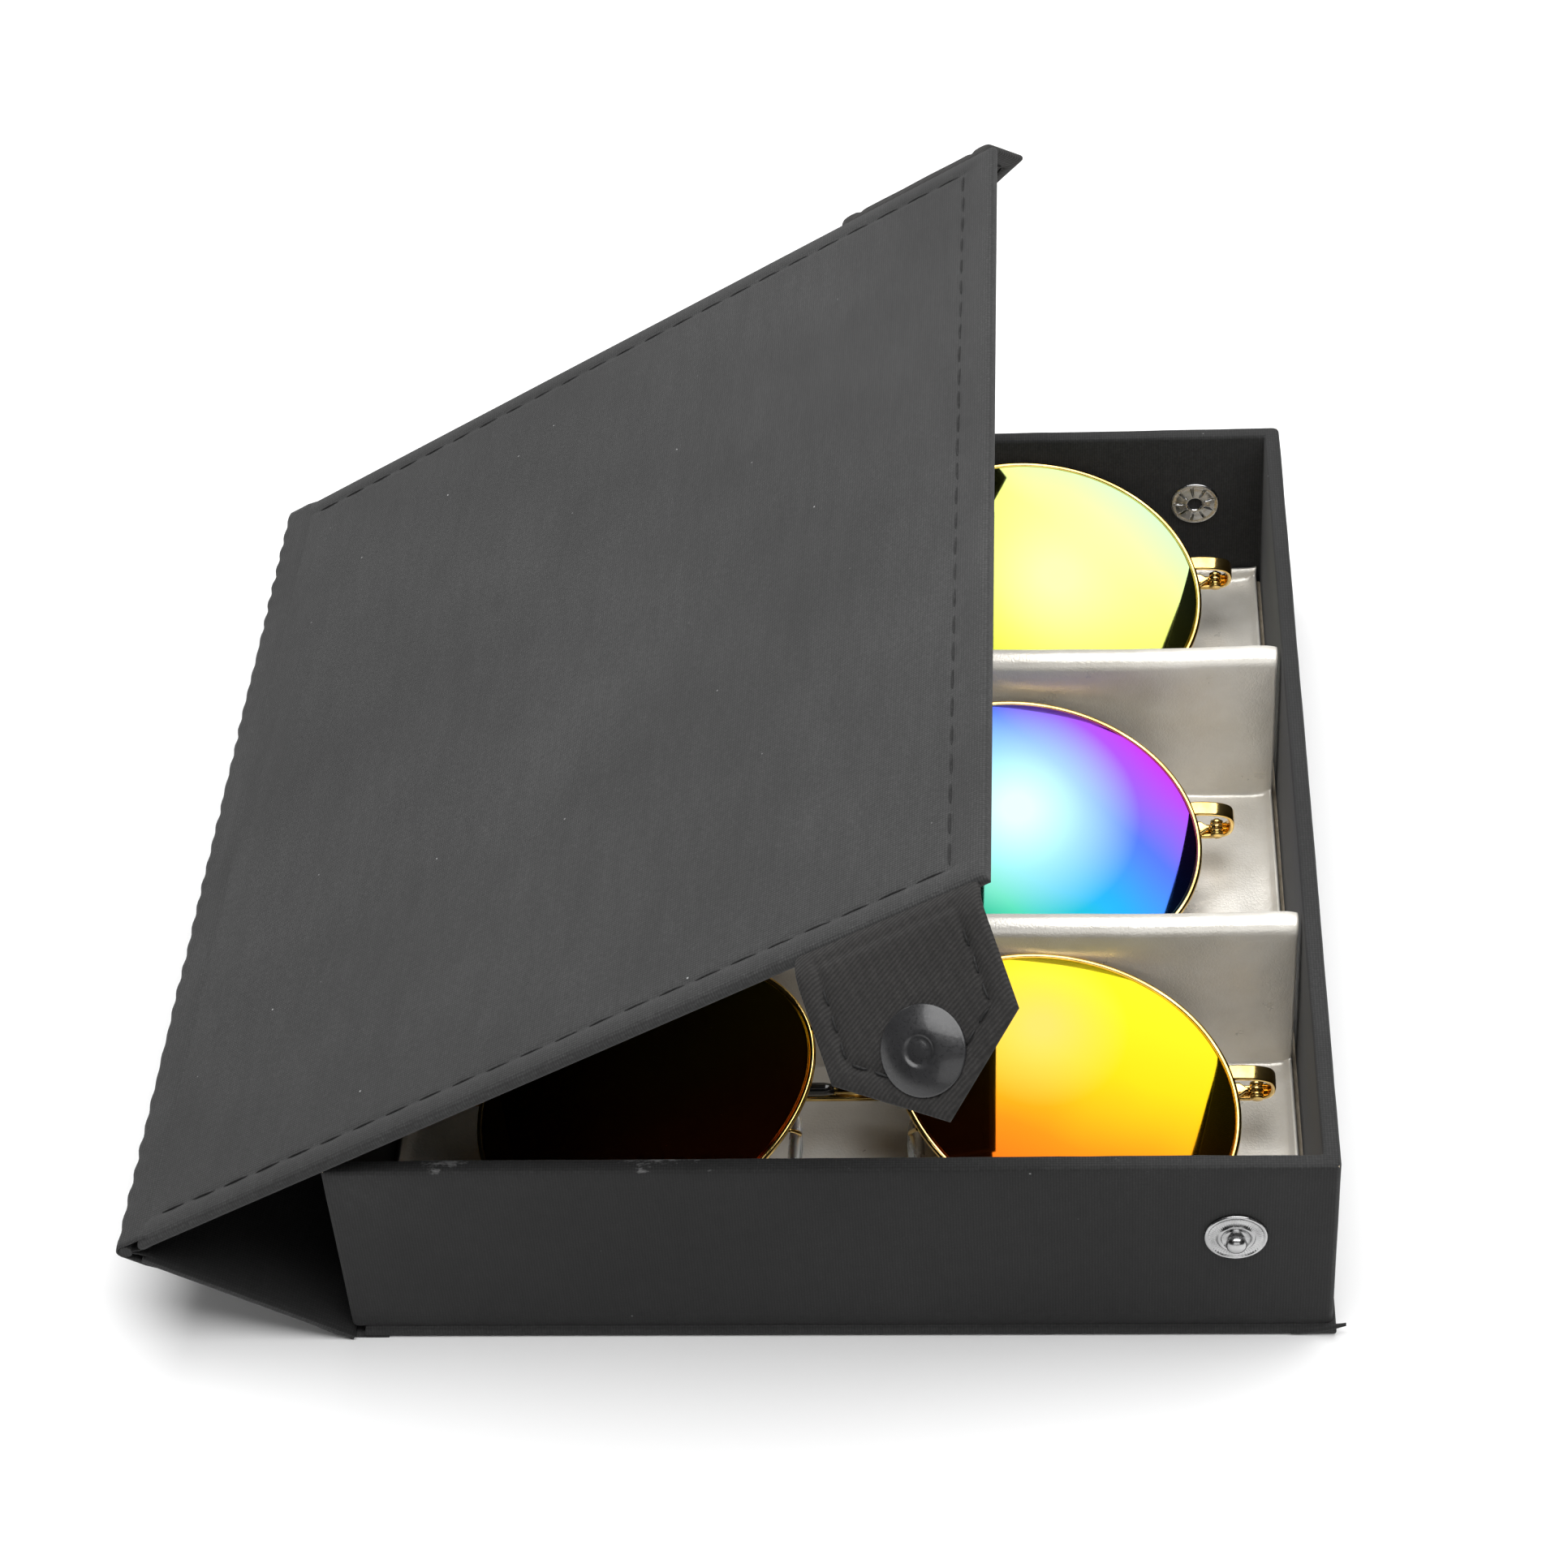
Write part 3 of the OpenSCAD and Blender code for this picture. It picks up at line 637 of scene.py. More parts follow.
LID_INSET = 5.2
FREE_INSET = 7.0
lid_u = (FOLD_ROOM, LID_LENGTH)
lid_v = (-COVER_HALF, COVER_HALF)
LID_ROWS = [
    ((FOLD_ROOM + 4, -COVER_HALF + LID_INSET), (LID_LENGTH - FREE_INSET, -COVER_HALF + LID_INSET)),
    ((LID_LENGTH - FREE_INSET, -COVER_HALF + LID_INSET), (LID_LENGTH - FREE_INSET, COVER_HALF - LID_INSET)),
    ((FOLD_ROOM + 4, COVER_HALF - LID_INSET), (LID_LENGTH - FREE_INSET, COVER_HALF - LID_INSET)),
]


def row_distance(u, v, row):
    (u0, v0), (u1, v1) = row
    a, b = np.array([u0, v0]), np.array([u1, v1])
    t = np.clip(((u - u0) * (u1 - u0) + (v - v0) * (v1 - v0)) / float((b - a) @ (b - a)), 0, 1)
    return math.hypot(u - u0 - t * (u1 - u0), v - v0 - t * (v1 - v0)), t * float(np.linalg.norm(b - a))


def lid_relief(u, v):
    """Pulled-in stitching, a padded rim outside it and a few slack waves in the cloth."""
    h = 0.06 + 0.12 * wander(u, v, 0, 45) + 0.03 * wander(u, v, 9, 12)
    for row in LID_ROWS:
        away, along = row_distance(u, v, row)
        if away < 8:
            h -= 0.13 * math.exp(-(away / 0.75) ** 2)
            h += 0.05 * math.cos(2 * math.pi * along / STITCH_PITCH) * math.exp(-(away / 2.2) ** 2)
    room = min(v + COVER_HALF, COVER_HALF - v, LID_LENGTH - u)
    if room < LID_INSET:
        h += 0.22 * math.sin(math.pi * room / LID_INSET)
    return h


def make_lid():
    us = edge_lines(*lid_u, 2.0, PANEL_T / 2, [LID_LENGTH - FREE_INSET])
    vs = edge_lines(*lid_v, 2.0, PANEL_T / 2, [-COVER_HALF + LID_INSET, COVER_HALF - LID_INSET])
    lid = build("lid_cloth", *lined_panel(us, vs, PANEL_T, lid_relief), LID_CLOTH, LID)
    fit(lid, "lid", "grey_cloth", "lid_cover")
    for face, sink, out in (("outer", 0.0, vec(0, 0, 1)), ("inner", 0.18, vec(0, 0, -1))):
        rows = [stitch_row((*a, 0), (*b, 0), height=PANEL_T / 2 + sink, out=out) for a, b in LID_ROWS]
        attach(build(f"lid_stitches_{face}", *join(rows), THREAD, LID), "lid")
    inset = 2.2
    lining = panel((FOLD_ROOM + inset, LID_LENGTH - 4), (-COVER_HALF + inset, COVER_HALF - inset), 0.5, 4.0,
                   bottom=lambda u, v: 0.06 * wander(u, v, 3, 30), centre=-PANEL_T / 2 + 0.12)
    fit(build("lid_lining_cloth", *lining, PLAIN_CLOTH, LID), "lid", "black_cloth", "lid_lining")


def make_spine():
    shape = panel((-1.6, SPINE_RISE - FOLD_ROOM), lid_v, PANEL_T, 3.0,
                  top=lambda u, v: 0.12 * wander(u, v, 5, 40), centre=PANEL_T / 2)
    spine = build("spine_cloth", *shape, LID_CLOTH, SPINE)
    spine.data.materials.append(PLAIN_CLOTH)
    for face in spine.data.polygons:
        if face.normal.z < -0.3:
            face.material_index = 1
    fit(spine, "spine", "grey_cloth", "spine_cover")


def make_base():
    low, high = box_mm("base_cover")
    shape = panel((LOW_HINGE[0] + PANEL_T + 0.3, high[0]), (low[1], high[1]), PANEL_T, 4.0,
                  centre=PANEL_T / 2, edge=0.6)
    fit(build("base_cloth", *shape, WALL_CLOTH), "case", "black_cloth", "base_cover")


def hinge_strip(name, profile, mat, thick=CLOTH_T, wave=None):
    """Cloth curved round a hinge between two bodies, built in place and carried by neither. profile is points
    in X and Z, each with its outward direction.
    """
    half = COVER_HALF - 0.6
    ys = np.linspace(-half, half, int(2 * half) + 1)
    rings = []
    for i, (x, z, nx, nz) in enumerate(profile):
        ring = []
        for y in ys:
            k = wave(i / (len(profile) - 1), y) if wave else 0
            ring.append(vec(x + nx * k, y, z + nz * k))
        rings.append(ring)
    piece = build(name, *loft(rings, closed=False), mat)
    solid = piece.modifiers.new("thickness", "SOLIDIFY")
    solid.thickness = thick * MM
    solid.offset = 0
    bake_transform(piece)


def arc_points(centre, r, start, end, count):
    out = []
    for k in range(count + 1):
        a = start + (end - start) * k / count
        out.append((centre[0] + r * math.cos(a), centre[2] + r * math.sin(a), math.cos(a), math.sin(a)))
    return out


def beside(centre, along, out, distance, height):
    """A point beside a hinge, where the cloth sinks into the panel at its far end."""
    height -= max(0.0, abs(distance) - 4.6) * 0.22 * (1 if height > 0 else 0)
    p = centre + along * distance + out * height
    return (p[0], p[2], out[0], out[2])


SCALLOP = 5.8


def scallop(peak_at):
    """Puckers along a strip, highest at the given share of its width."""
    def height(t, y):
        pucker = 0.24 * math.cos(2 * math.pi * y / SCALLOP) * (0.6 + 0.6 * wander(y, 9, 2, 14))
        return (0.16 + pucker + 0.16 * wander(y, 3, 1, 7)) * math.exp(-((t - peak_at) / 0.42) ** 2)

    return height


def make_hinges():
    """Cloth over the upper hinge, in two halves that meet on the roll, and over the lower hinge."""
    spine_angle = math.atan2(SPINE_OUT[2], SPINE_OUT[0]) % (2 * math.pi)
    lid_angle = math.atan2(LID_OUT[2], LID_OUT[0])
    middle = (spine_angle + lid_angle) / 2
    r = PANEL_T / 2 + CLOTH_T / 2
    lower = [beside(HIGH_HINGE, SPINE_ALONG, SPINE_OUT, d, r) for d in (-8, -6, -4.4, -3, -2, -1)]
    lower += arc_points(HIGH_HINGE, r, spine_angle, middle, 6)
    upper = arc_points(HIGH_HINGE, r, middle, lid_angle, 6)
    upper += [beside(HIGH_HINGE, LID_ALONG, LID_OUT, d, r) for d in (1, 2, 3, 4.4, 6, 8)]
    hinge_strip("hinge_cloth_spine", lower, LID_CLOTH,
                wave=scallop(1.0))
    hinge_strip("hinge_cloth_lid", upper, LID_CLOTH,
                wave=scallop(0.0))
    inner_r = PANEL_T / 2 - CLOTH_T / 2
    inward = -unit(SPINE_OUT + LID_OUT)
    turn = HIGH_HINGE + inward * 0.2
    crease = (turn[0], turn[2], inward[0], inward[2])
    lower = [beside(HIGH_HINGE, SPINE_ALONG, -SPINE_OUT, d, inner_r) for d in (-7, -5, -3.6)]
    lower += [beside(HIGH_HINGE, SPINE_ALONG, -SPINE_OUT, -2.2, inner_r * 0.75), crease]
    upper = [crease, beside(HIGH_HINGE, LID_ALONG, -LID_OUT, 2.2, inner_r * 0.75)]
    upper += [beside(HIGH_HINGE, LID_ALONG, -LID_OUT, d, inner_r) for d in (3.6, 5, 7)]
    hinge_strip("hinge_lining_spine", lower, PLAIN_CLOTH)
    hinge_strip("hinge_lining_lid", upper, PLAIN_CLOTH)
    low_r = PANEL_T - 0.12
    profile = [(LOW_HINGE[0] + d, 0.12, 0, -1) for d in (7, 5, 3.4)]
    profile += arc_points(LOW_HINGE, low_r, math.radians(292), spine_angle, 6)
    profile += [beside(LOW_HINGE, SPINE_ALONG, SPINE_OUT, d, low_r + 0.16) for d in (1.5, 3, 5, 8)]
    profile = [(x, max(z, 0.12), nx, nz) for x, z, nx, nz in profile]
    hinge_strip("hinge_cloth_base", profile, LID_CLOTH,
                thick=0.2)


def make_corner_fold():
    """The folded cloth that stands out from the front right corner of the base."""
    low, high = box_mm("base_cover")
    rings = []
    for k in range(9):
        t = k / 8
        middle = vec(high[0] - 8 + 9.6 * t, low[1] + 0.5 - 0.4 * t, 1.0 + 1.9 * t * t)
        tall, thick, lean = 0.95 * math.sqrt(max(0.03, 1 - t * t)), 0.6 - 0.25 * t, 0.15 * math.sin(3 * t)
        rings.append([middle + vec(b * lean, a * thick, b * tall) for a, b in circle(1.0, 14)])
    fit(build("corner_fold", *loft(rings, caps=True), WALL_CLOTH), "case", "black_cloth")


make_lid()
make_spine()
make_base()
make_hinges()
make_corner_fold()


# ---------------------------------------------------------------- tray walls

WRAP_LOW, WRAP_HIGH = box_mm("tray_wrap")
HALF_X, HALF_Y = WRAP_HIGH[0], WRAP_HIGH[1]
WALL_T = 3.2
RIM_R = 0.9


def rect_ring(hx, hy, r, step=2.0, corner=5):
    """A rounded rectangle, as points each with its outward direction. Every size has as many points."""
    ring = []
    for turn, (sx, sy) in enumerate(QUADRANTS):
        for k in range(corner + 1):
            a = math.radians(90 * (turn + k / corner))
            out = (math.cos(a), math.sin(a))
            ring.append(((sx * (hx - r) + r * out[0], sy * (hy - r) + r * out[1]), out))
        (x, y), out = ring[-1]
        dx, dy = ((-1, 0), (0, -1), (1, 0), (0, 1))[turn]
        length = 2 * ((hx, hy)[turn % 2] - r)
        count = int(2 * (HALF_X, HALF_Y)[turn % 2] / step)
        for k in range(1, count):
            ring.append(((x + dx * length * k / count, y + dy * length * k / count), out))
    return ring


def make_walls():
    top = WRAP_HIGH[2]
    foot = WRAP_LOW[2] + 0.05
    steps = [(0.0, z) for z in (foot, 6, 12, 20, 28, 36, 40)]
    turns = np.radians([0, 20, 40, 60, 80])
    steps += [(RIM_R - RIM_R * math.cos(a), top - RIM_R + RIM_R * math.sin(a)) for a in turns]
    steps += [(WALL_T - i, z) for i, z in reversed(steps[-5:])]
    steps += [(WALL_T, z) for z in (36, 28, 20, 12, 4.2, foot)]
    rings = []
    for inset, z in steps:
        r = max(1.3 - inset * 0.3, 0.4)
        ring = []
        for (x, y), (nx, ny) in rect_ring(HALF_X - inset, HALF_Y - inset, r):
            high = max(0.0, (z - 10) / (top - 10))
            push = 0.14 * high * wander(x, y, z, 26) + 0.05 * wander(x, y, z, 7)
            lift = 0.16 * wander(x, y, 2, 30) + 0.06 * wander(x, y, 5, 6) if z > top - 1.5 else 0.0
            ring.append(vec(x + nx * push, y + ny * push, z + lift))
        rings.append(ring)
    walls = build("tray_cloth", *loft(rings, round_trip=True), WALL_CLOTH)
    fit(walls, "case", "black_cloth", "tray_wrap")


make_walls()


# ---------------------------------------------------------------- liner and dividers

LINER_LOW, LINER_HIGH = box_mm("floor_liner")
DIVIDERS = [box_mm("divider_front"), box_mm("divider_rear")]


def make_liner():
    """One skin that lies on the floor and runs up, over and down each divider."""
    z0 = LINER_HIGH[2]
    r = 1.6
    front, back = LINER_LOW[1], LINER_HIGH[1]
    profile = [(front + 0.1, z0 + 2.4), (front + 0.35, z0 + 1.0), (front + 1.3, z0 + 0.15)]

    def flat(y0, y1, step=2.5):
        count = max(2, int((y1 - y0) / step))
        profile.extend((y0 + (y1 - y0) * k / count, z0) for k in range(count + 1))

    def foot(y, side, angles):
        turns = np.radians(angles)
        profile.extend((y + side * (r - r * math.sin(a)), z0 + r - r * math.cos(a)) for a in turns)

    y = front + 2.4
    over = np.radians([15, 35, 55, 75, 90, 105, 125, 145, 165])
    for low, high in DIVIDERS:
        half = (high[1] - low[1]) / 2
        crown = high[2] - half
        flat(y, low[1] - r)
        foot(low[1], -1, [25, 50, 75])
        profile.extend((low[1], z) for z in np.linspace(z0 + r, crown, 15))
        profile.extend((low[1] + half - half * math.cos(a), crown + half * math.sin(a)) for a in over)
        profile.extend((high[1], z) for z in np.linspace(crown, z0 + r, 15))
        foot(high[1], 1, [75, 50, 25])
        y = high[1] + r
    flat(y, back - 2.4)
    profile += [(back - 1.2, z0 + 0.2), (back - 0.3, z0 + 1.3), (back - 0.1, z0 + 3.2)]
    x_end = LINER_HIGH[0] - 0.2
    xs = [-x_end, -x_end + 0.4, -x_end + 1, -x_end + 1.8] + list(np.arange(-x_end + 3, x_end - 2.9, 1.5)) \
        + [x_end - 1.8, x_end - 1, x_end - 0.4, x_end]
    top = DIVIDERS[0][1][2]
    rings = []
    for y, z in profile:
        ring = []
        high = (z - z0) / (top - z0)
        on_floor = max(0.0, 1 - (z - z0) / 4)
        for x in xs:
            near = max(0.0, (abs(x) - x_end + 3) / 3)
            curl = near ** 2 * (1.5 + 0.5 * wander(x, y, 8, 9))
            dz = on_floor * (0.22 * wander(x, y, 1, 14) + 0.12 * wander(x, y, 4, 4) + curl)
            dy = high * 0.45 * wander(x, 7, 0, 40) + (1 - on_floor) * 0.10 * wander(x, z, y, 9)
            dz += high * (0.25 * wander(x, y, 11, 45) - 0.5 * near ** 2) if high > 0.1 else 0
            ring.append(vec(x, y + dy, z + dz))
        rings.append(ring)
    liner = build("liner_skin", *loft(rings, closed=False), LINER)
    solid = liner.modifiers.new("thickness", "SOLIDIFY")
    solid.thickness = 0.7 * MM
    solid.offset = -1
    fit(liner, "case", "silver_liner", "floor_liner", "divider_front", "divider_rear")
    length = sum(math.dist(a, b) for a, b in zip(profile, profile[1:]))


make_liner()


# ---------------------------------------------------------------- snaps

def snap_place(name, side):
    """The middle of a snap on the front (-1) or back (1) wall, looking away from the tray."""
    low, high = box_mm(name)
    middle = (low + high) / 2
    out = vec(0, side, 0)
    along = vec(-side, 0, 0)
    return Place(vec(middle[0], side * HALF_Y, middle[2]), along, np.cross(out, along), out)


def make_stud(name, cad_name, side):
    def knurl(r, t):
        return 0.07 * math.cos(54 * t) if 3.5 < r < 4.7 else 0.0

    flange = [(5.5, 0.0), (5.5, 0.35), (5.42, 0.58), (5.2, 0.68), (4.98, 0.6), (4.85, 0.42), (4.6, 0.34),
              (4.3, 0.34), (4.0, 0.36), (3.7, 0.4), (3.4, 0.5), (3.25, 0.82), (3.05, 0.98), (2.8, 0.98),
              (2.6, 0.8), (2.5, 0.46), (2.0, 0.4), (1.4, 0.42)]
    post = [(1.36, 0.6), (1.32, 1.0), (1.5, 1.25), (1.76, 1.6), (1.86, 2.0), (1.78, 2.45), (1.5, 2.85),
            (1.05, 3.14), (0.5, 3.28), (0.05, 3.3)]
    stud = build(name, *lathe(flange + post, 216, knurl), STEEL, snap_place(cad_name, side))
    fit(stud, "case", "snap_steel", cad_name)


def make_eyelet(name, cad_name, side):
    place = snap_place(cad_name, side)
    place = Place(place.origin - place.axes[2] * WALL_T, -place.axes[0], place.axes[1], -place.axes[2])

    def petals(r, t):
        if not 2.0 < r < 4.4:
            return 0.0
        k = abs(math.cos(4.5 * t))
        return -0.5 * max(0.0, 1 - k * 2.6) * math.sin(math.pi * (r - 2.0) / 2.4)

    profile = [(5.2, 0.0), (5.2, 0.25), (5.1, 0.42), (4.85, 0.5), (4.55, 0.44), (4.3, 0.4), (3.9, 0.46),
               (3.5, 0.52), (3.1, 0.56), (2.7, 0.58), (2.3, 0.6), (2.0, 0.66), (1.75, 0.66), (1.55, 0.55),
               (1.45, 0.2), (1.4, -1.2), (0.05, -1.2)]
    eyelet = build(name, *lathe(profile, 216, petals), STEEL, place)
    fit(eyelet, "case", "snap_steel", cad_name)


make_stud("snap_stud_front", "stud_front", -1)
make_stud("snap_stud_rear", "stud_rear", 1)
make_eyelet("snap_eyelet_front", "eyelet_front", -1)
make_eyelet("snap_eyelet_rear", "eyelet_rear", 1)


# ---------------------------------------------------------------- tabs

TAB_W = 35.0
TAB_SIDE = 18.8
TAB_LEN = 31.4
TAB_T = 1.4
TAB_ROOT = -4.6
SNAP_REACH = 19.3
TAB_BORDER = 4.2


def tab_outline(inset=0.0, foot=TAB_ROOT):
    """Corners of a tab, with its sides and point moved in by inset."""
    w = TAB_W / 2
    slope = math.hypot(TAB_LEN - TAB_SIDE, w)
    drop = inset * slope / w
    side = TAB_SIDE - drop + inset * (TAB_LEN - TAB_SIDE) / w
    return [(-w + inset, foot), (w - inset, foot), (w - inset, side), (0, TAB_LEN - drop), (-w + inset, side)]


def edge_room(x, y, corners):
    """Distance from a point inside a convex outline to its nearest edge."""
    rooms = []
    for (x0, y0), (x1, y1) in zip(corners, corners[1:] + corners[:1]):
        length = math.hypot(x1 - x0, y1 - y0)
        rooms.append(((x1 - x0) * (y - y0) - (y1 - y0) * (x - x0)) / length)
    return min(rooms)


def tab_panel(bend):
    """A padded tab on spokes from its middle, bent by the given function of the local y."""
    corners = tab_outline()
    middle = (0.0, 13.0)
    spokes = []
    for (x0, y0), (x1, y1) in zip(corners, corners[1:] + corners[:1]):
        count = max(6, int(math.hypot(x1 - x0, y1 - y0) / 0.8))
        spokes += [(x0 + (x1 - x0) * k / count, y0 + (y1 - y0) * k / count) for k in range(count)]
    shares = [0.02, 0.1, 0.2, 0.3, 0.4, 0.5, 0.6, 0.68, 0.72, 0.75, 0.78, 0.82, 0.88, 0.93]
    shares += [0.955, 0.975, 0.99, 1.0]
    rings = []
    for side, order in ((1, shares), (-1, shares[-2::-1])):
        for k in order:
            ring = []
            for sx, sy in spokes:
                x, y = middle[0] + (sx - middle[0]) * k, middle[1] + (sy - middle[1]) * k
                room = max(0.0, edge_room(x, y, corners))
                h = TAB_T / 2 * math.sqrt(max(0.0, 1 - (1 - min(room / (TAB_T / 2), 1)) ** 2))
                groove = 0.30 * math.exp(-((room - TAB_BORDER) / 0.6) ** 2)
                h += (0.18 * math.sin(math.pi * min(room / TAB_BORDER, 1)) - groove) * min(room, 1)
                h += 0.07 * wander(x, y, side, 7) * min(room, 1)
                ring.append(bend(x, y, side * h))
            rings.append(ring)
    return loft(rings, caps=True)


def make_tab(name, body, side):
    joint = joint_at(f"{body}_fold")
    droop = math.radians(90 + JOINTS[f"{body}_fold"]["range_deg"][0])
    lid_frame = Place(joint, LID_ALONG * side, Y_AXIS * side, LID_OUT)
    tab_frame = Place(joint, LID_ALONG * side, Y_AXIS * side * math.cos(droop) - LID_OUT * math.sin(droop),
                      Y_AXIS * side * math.sin(droop) + LID_OUT * math.cos(droop))
    fold = 2.4

    def bend(x, y, h):
        if y <= -fold:
            return vec(x, y, h)
        if y >= fold:
            c, s = math.cos(droop), math.sin(droop)
            return vec(x, y * c + h * s, -y * s + h * c)
        t = (y + fold) / (2 * fold)
        a = droop * t
        rest = vec(x, -fold, 0) * (1 - t) ** 2 + vec(x, 0, 0) * 2 * t * (1 - t) \
            + vec(x, fold * math.cos(droop), -fold * math.sin(droop)) * t * t
        return rest + vec(0, math.sin(a), math.cos(a)) * h

    cloth_piece = build(f"{name}_cloth", *tab_panel(bend), TWILL, lid_frame)
    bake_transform(cloth_piece)
    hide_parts(body, f"{body}_root")
    corners = tab_outline(TAB_BORDER, 3.0)
    rows = []
    for face in (1, -1):
        for a, b in ((1, 2), (2, 3), (3, 4), (4, 0)):
            rows.append(stitch_row((*corners[a], 0), (*corners[b], 0), 3.6, 2.7, TAB_T / 2 - 0.02,
                                   vec(0, 0, face), 0.22))
    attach(build(f"{name}_stitches", *join(rows), THREAD, tab_frame), body)
    cap_frame = Place(tab_frame.point((0, SNAP_REACH, TAB_T / 2)), *tab_frame.axes)
    cap = [(7.1, -0.15), (7.45, 0.0), (7.5, 0.25), (7.42, 0.45), (7.2, 0.58), (6.9, 0.74), (6.2, 1.12),
           (5.4, 1.46), (4.5, 1.76), (3.6, 1.96), (3.0, 2.04), (2.7, 2.02), (2.45, 1.90), (2.2, 1.78),
           (1.9, 1.76), (1.5, 1.86), (1.1, 1.93), (0.6, 1.97), (0.05, 1.98)]
    end_name = body.split("_")[0]
    fit(build(f"{name}_cap", *lathe(cap, 128), CAP_PAINT, cap_frame), body, "cap_black", f"{end_name}_cap")
    along, across, out = tab_frame.axes
    socket_frame = Place(tab_frame.point((0, SNAP_REACH, -TAB_T / 2)), -along, across, -out)
    socket = [(5.6, 0.0), (5.6, 0.5), (5.45, 0.75), (5.1, 0.85), (4.7, 0.8), (4.4, 0.7), (4.1, 0.9),
              (4.0, 1.9), (3.8, 2.25), (3.4, 2.4), (2.7, 2.4), (2.3, 2.3), (2.1, 2.0), (2.1, 0.15),
              (0.05, 0.1)]
    piece = build(f"{name}_socket", *lathe(socket, 96), STEEL, socket_frame)
    fit(piece, body, "snap_steel", f"{end_name}_socket")


make_tab("tab_front", "front_tab", -1)
make_tab("tab_rear", "rear_tab", 1)


# ---------------------------------------------------------------- glasses

LENS_A = 32.2
LENS_B = 26.4
LENS_OFFSET = 39.0
LENS_TAPER = 0.16
LENS_SHEAR = 5.5
LENS_R = 110.0
LENS_WRAP = 0.14
LENS_T = 1.6
RIM_WIRE = 0.8
HINGE = vec(73.4, 6.0, -16.8)
PAIR_TILT = {"front": 22.0, "middle": 21.0, "back": 27.0}
TEMPLE_LEN = 78.0
TIP_LEN = 54.0
LEFT_SLOPE = -0.02
RIGHT_SLOPE = 0.026


def lens_edge(t, grow=0.0):
    u = (LENS_A + grow) * math.cos(t) * (1 - LENS_TAPER * (1 - math.sin(t)) / 2) - LENS_SHEAR * math.sin(t)
    return u, (LENS_B + grow) * math.sin(t)


def lens_point(u, v, out=0.0):
    """A point on the right lens, moved out along the lens by out."""
    return vec(LENS_OFFSET + u, v, -(u * u + v * v) / (2 * LENS_R) - LENS_WRAP * u + out)


def flip(part):
    """The same mesh on the other side of the nose."""
    verts, faces = part
    return [vec(-v[0], v[1], v[2]) for v in verts], [list(reversed(f)) for f in faces]


def lens_mesh():
    steps = 120
    shares = [k / 12 for k in range(1, 12)] + [0.97, 0.99, 0.998, 1.0]
    sides = []
    for out, order in ((LENS_T / 2, shares), (-LENS_T / 2, shares[::-1])):
        for share in order:
            edge = [lens_edge(2 * math.pi * i / steps) for i in range(steps)]
            sides.append([lens_point(u * share, v * share, out) for u, v in edge])
    verts, faces = loft(sides)
    for ring, turn in ((0, 1), (len(sides) - 1, -1)):
        verts.append(lens_point(0, 0, turn * LENS_T / 2))
        for i in range(steps):
            tri = [ring * steps + i, ring * steps + (i + 1) % steps, len(verts) - 1]
            faces.append(tri if turn == 1 else tri[::-1])
    return verts, faces


def end_piece():
    """A strip that leaves the rim, curls back round the hinge and ends behind its screw."""
    front = lens_edge(0, RIM_WIRE)
    w0 = lens_point(*front)[2] + 0.15
    v = HINGE[1]
    back = HINGE[2] - 1.5
    curl = [(67.9, w0 + 0.1), (70.2, w0 + 0.25), (73.0, w0 - 0.1), (75.3, w0 - 1.3), (76.15, w0 - 3.6),
            (76.15, back + 3.4), (75.5, back + 1.4), (73.8, back + 0.25), (71.6, back), (70.2, back + 0.1)]
    path = smooth_path([(u, v, w) for u, w in curl], 6)
    return sweep(path, rounded_rect(1.0, 2.9, 0.38), vec(0, 1, 0))


def upright_pin(v0, v1, r, n):
    """A round pin along the hinge's axis."""
    return sweep([vec(HINGE[0], v, HINGE[2]) for v in (v0, v1)], circle(r, n), vec(0, 0, 1))


def hinge_parts():
    """Ears and screw of one hinge."""
    ears = [upright_pin(4.6, 5.3, 1.3, 20), upright_pin(6.7, 7.4, 1.3, 20)]
    verts, faces = lathe([(1.3, 0.0), (1.3, 0.25), (1.1, 0.45), (0.7, 0.55), (0.05, 0.56)], 32)
    head = [vec(HINGE[0] + x, 4.6 - z, HINGE[2] + y) for x, y, z in verts], faces
    return join(ears), join([head, upright_pin(4.7, 7.9, 0.62, 16)])


def pad_wire():
    start = lens_point(*lens_edge(math.radians(196), 1.2))
    bends = ((0, 0, 0), (-0.9, 0.5, -2.2), (-1.7, 0.9, -4.6), (-1.0, 0.6, -6.4), (-0.4, 0.0, -7.4))
    return sweep(smooth_path([start + vec(*b) for b in bends], 6), circle(0.42, 8), vec(0, 1, 0))


def pad_mesh():
    """A soft drop-shaped pad that leans against the nose."""
    start = lens_point(*lens_edge(math.radians(196), 1.2)) + vec(-0.7, -0.6, -7.8)
    lean, turn = math.radians(74), math.radians(8)
    rings = []
    steps = 36
    for k in range(9):
        a = math.pi * k / 8
        h, grow = -1.1 * math.cos(a), math.sin(a) ** 0.55 if 0 < k < 8 else 0.02
        ring = []
        for i in range(steps):
            t = 2 * math.pi * i / steps
            x = 3.2 * math.cos(t) * (1 - 0.14 * math.sin(t)) * grow
            y = 6.25 * math.sin(t) * grow
            x, y = x * math.cos(turn) - y * math.sin(turn), x * math.sin(turn) + y * math.cos(turn)
            tipped = h * math.cos(lean) - x * math.sin(lean)
            ring.append(start + vec(x * math.cos(lean) + h * math.sin(lean), y, tipped))
        rings.append(ring)
    return loft(rings, caps=True)


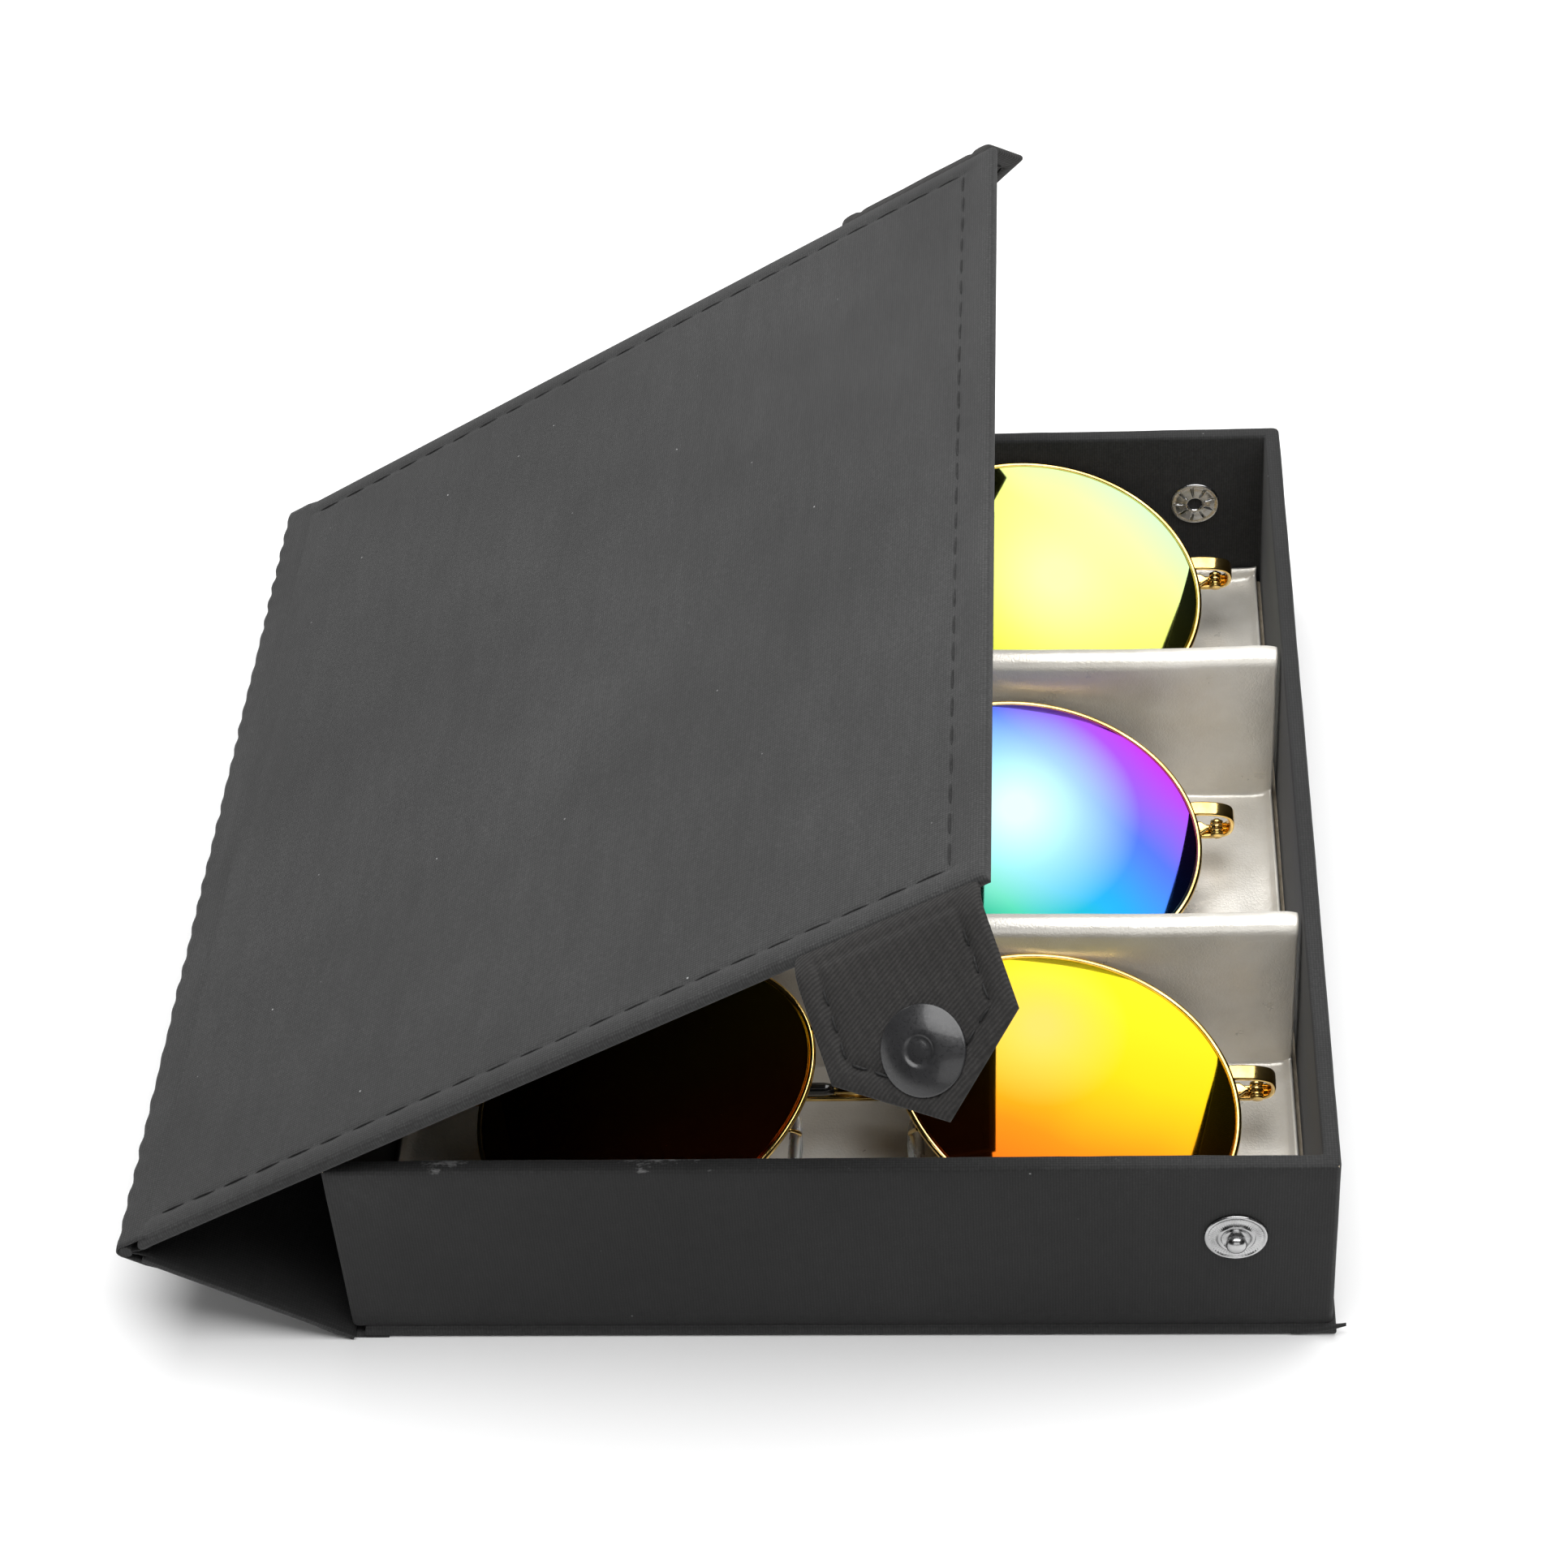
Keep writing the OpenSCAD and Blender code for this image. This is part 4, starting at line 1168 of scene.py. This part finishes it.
def temple_mesh(slope):
    """Flat bar from the hinge barrel, thinning to a round wire that enters the tip."""
    fall = unit(vec(-1, 0, slope))
    parts = [sweep([HINGE - vec(0, 0.5, 0), HINGE + vec(0, 0.5, 0)], circle(1.3, 20), vec(0, 0, 1))]
    up = unit(np.cross(vec(0, 1, 0), fall))
    rings = []
    for d in (0.6, 2.0, 3.2, 5, 10, 20, 30, 40, 50, 60, 70, TEMPLE_LEN + 1):
        tall = 1.0 if d < 2.5 else 2.8 - 1.0 * max(0.0, (d - 20) / 60)
        flat = 1.2 + 0.3 * max(0.0, (d - 20) / 60)
        section = rounded_rect(tall, flat, min(flat, tall) * 0.42)
        rings.append([HINGE + fall * d + vec(0, 1, 0) * a + up * b for a, b in section])
    parts.append(loft(rings, caps=True))
    return join(parts)


def tip_mesh(slope):
    fall = unit(vec(-1, 0, slope))
    count = 30
    path = []
    for i in range(count + 1):
        d = TIP_LEN * i / count
        drop = 5 * max(0.0, (d - 20) / (TIP_LEN - 20)) ** 2
        path.append(HINGE + fall * (TEMPLE_LEN + d) - vec(0, drop, 0))

    def swell(t):
        if t < 0.02:
            return 0.62
        if t > 0.93:
            return math.sqrt(max(0.02, 1 - ((t - 0.93) / 0.07) ** 2))
        return 0.78 + 0.22 * min(1.0, t / 0.5)

    return sweep(path, circle(1.5, 20, 1.9), vec(0, 0, 1), scale=swell)


def make_pair(pair):
    tilt = math.radians(PAIR_TILT[pair])
    body = f"{pair}_glasses"
    up = vec(0, math.cos(tilt), math.sin(tilt))
    out = vec(0, -math.sin(tilt), math.cos(tilt))
    low, high = box_mm(f"{pair}_temple_left")
    left_hinge = low[0] + 1.3
    low, high = box_mm(f"{pair}_temple_right")
    right_hinge = high[0] - 1.3
    middle_x = (left_hinge + right_hinge) / 2
    low, high = box_mm(f"{pair}_lens_right")
    turns = np.linspace(0, 2 * math.pi, 240)
    mesh = np.array([lens_point(*lens_edge(t), s) for t in turns for s in (-LENS_T / 2, LENS_T / 2)])
    own = mesh[:, 1:2] * up + mesh[:, 2:3] * out
    origin = vec(middle_x, low[1] - own[:, 1].min(), high[2] - own[:, 2].max())
    place = Place(origin, vec(1, 0, 0), up, out)

    def add(name, part, mat, slot, cad_name):
        fit(build(f"{pair}_{name}", *part, mat, place), body, slot, f"{pair}_{cad_name}")

    steps = 150
    rim = sweep([lens_point(*lens_edge(2 * math.pi * i / steps, RIM_WIRE - 0.1)) for i in range(steps)],
                circle(0.66, 12, 0.85), vec(0, 0, 1), closed=True)
    ears, screw = hinge_parts()
    half = [rim, end_piece(), ears, pad_wire()]
    bridges = []
    for angle, rise, bulge, r in ((154, 1.2, 2.2, 0.85), (118, 1.8, 1.4, 0.8)):
        end = lens_point(*lens_edge(math.radians(angle), 1.2))
        arch = [vec(end[0] * k, end[1] + rise * (1 - k * k), end[2] + bulge * (1 - k * k))
                for k in np.linspace(-1, 1, 25)]
        bridges.append(sweep(arch, circle(r, 12), vec(0, 0, 1)))
    add("wire_front", join(half + [flip(p) for p in half] + bridges), GOLD, "gold_wire", "frame")
    add("hinge_screws", join([screw, flip(screw)]), GOLD, "gold_wire", "screws")
    add("nose_pads", join([pad_mesh(), flip(pad_mesh())]), PAD_GEL, "pad_clear", "pads")
    lens = lens_mesh()
    add("mirror_right", lens, LENSES[pair], f"{pair}_lens", "lens_right")
    left_slot = "front_lens_dark" if pair == "front" else f"{pair}_lens"
    add("mirror_left", flip(lens), LENSES[pair], left_slot, "lens_left")
    add("bar_right", temple_mesh(RIGHT_SLOPE), GOLD, "gold_wire", "temple_right")
    add("bar_left", flip(temple_mesh(LEFT_SLOPE)), GOLD, "gold_wire", "temple_left")
    add("sleeve_right", tip_mesh(RIGHT_SLOPE), ACETATE, "tip_black", "tip_right")
    add("sleeve_left", flip(tip_mesh(LEFT_SLOPE)), ACETATE, "tip_black", "tip_left")


for pair in PAIRS:
    make_pair(pair)


# ---------------------------------------------------------------- CAD nodes that stay

CLOTH_NODES = ("hinge_roll",)
BOARD_NODES = ("base_board", "tray_floor", "wall_front", "wall_back", "wall_left", "wall_right",
               "divider_front_core", "divider_rear_core", "spine_board", "lid_board")
for names, mat in ((BOARD_NODES, BOARD), (CLOTH_NODES, LID_CLOTH)):
    for name in names:
        kept = frame["nodes"][name].data
        kept.materials.clear()
        kept.materials.append(mat)
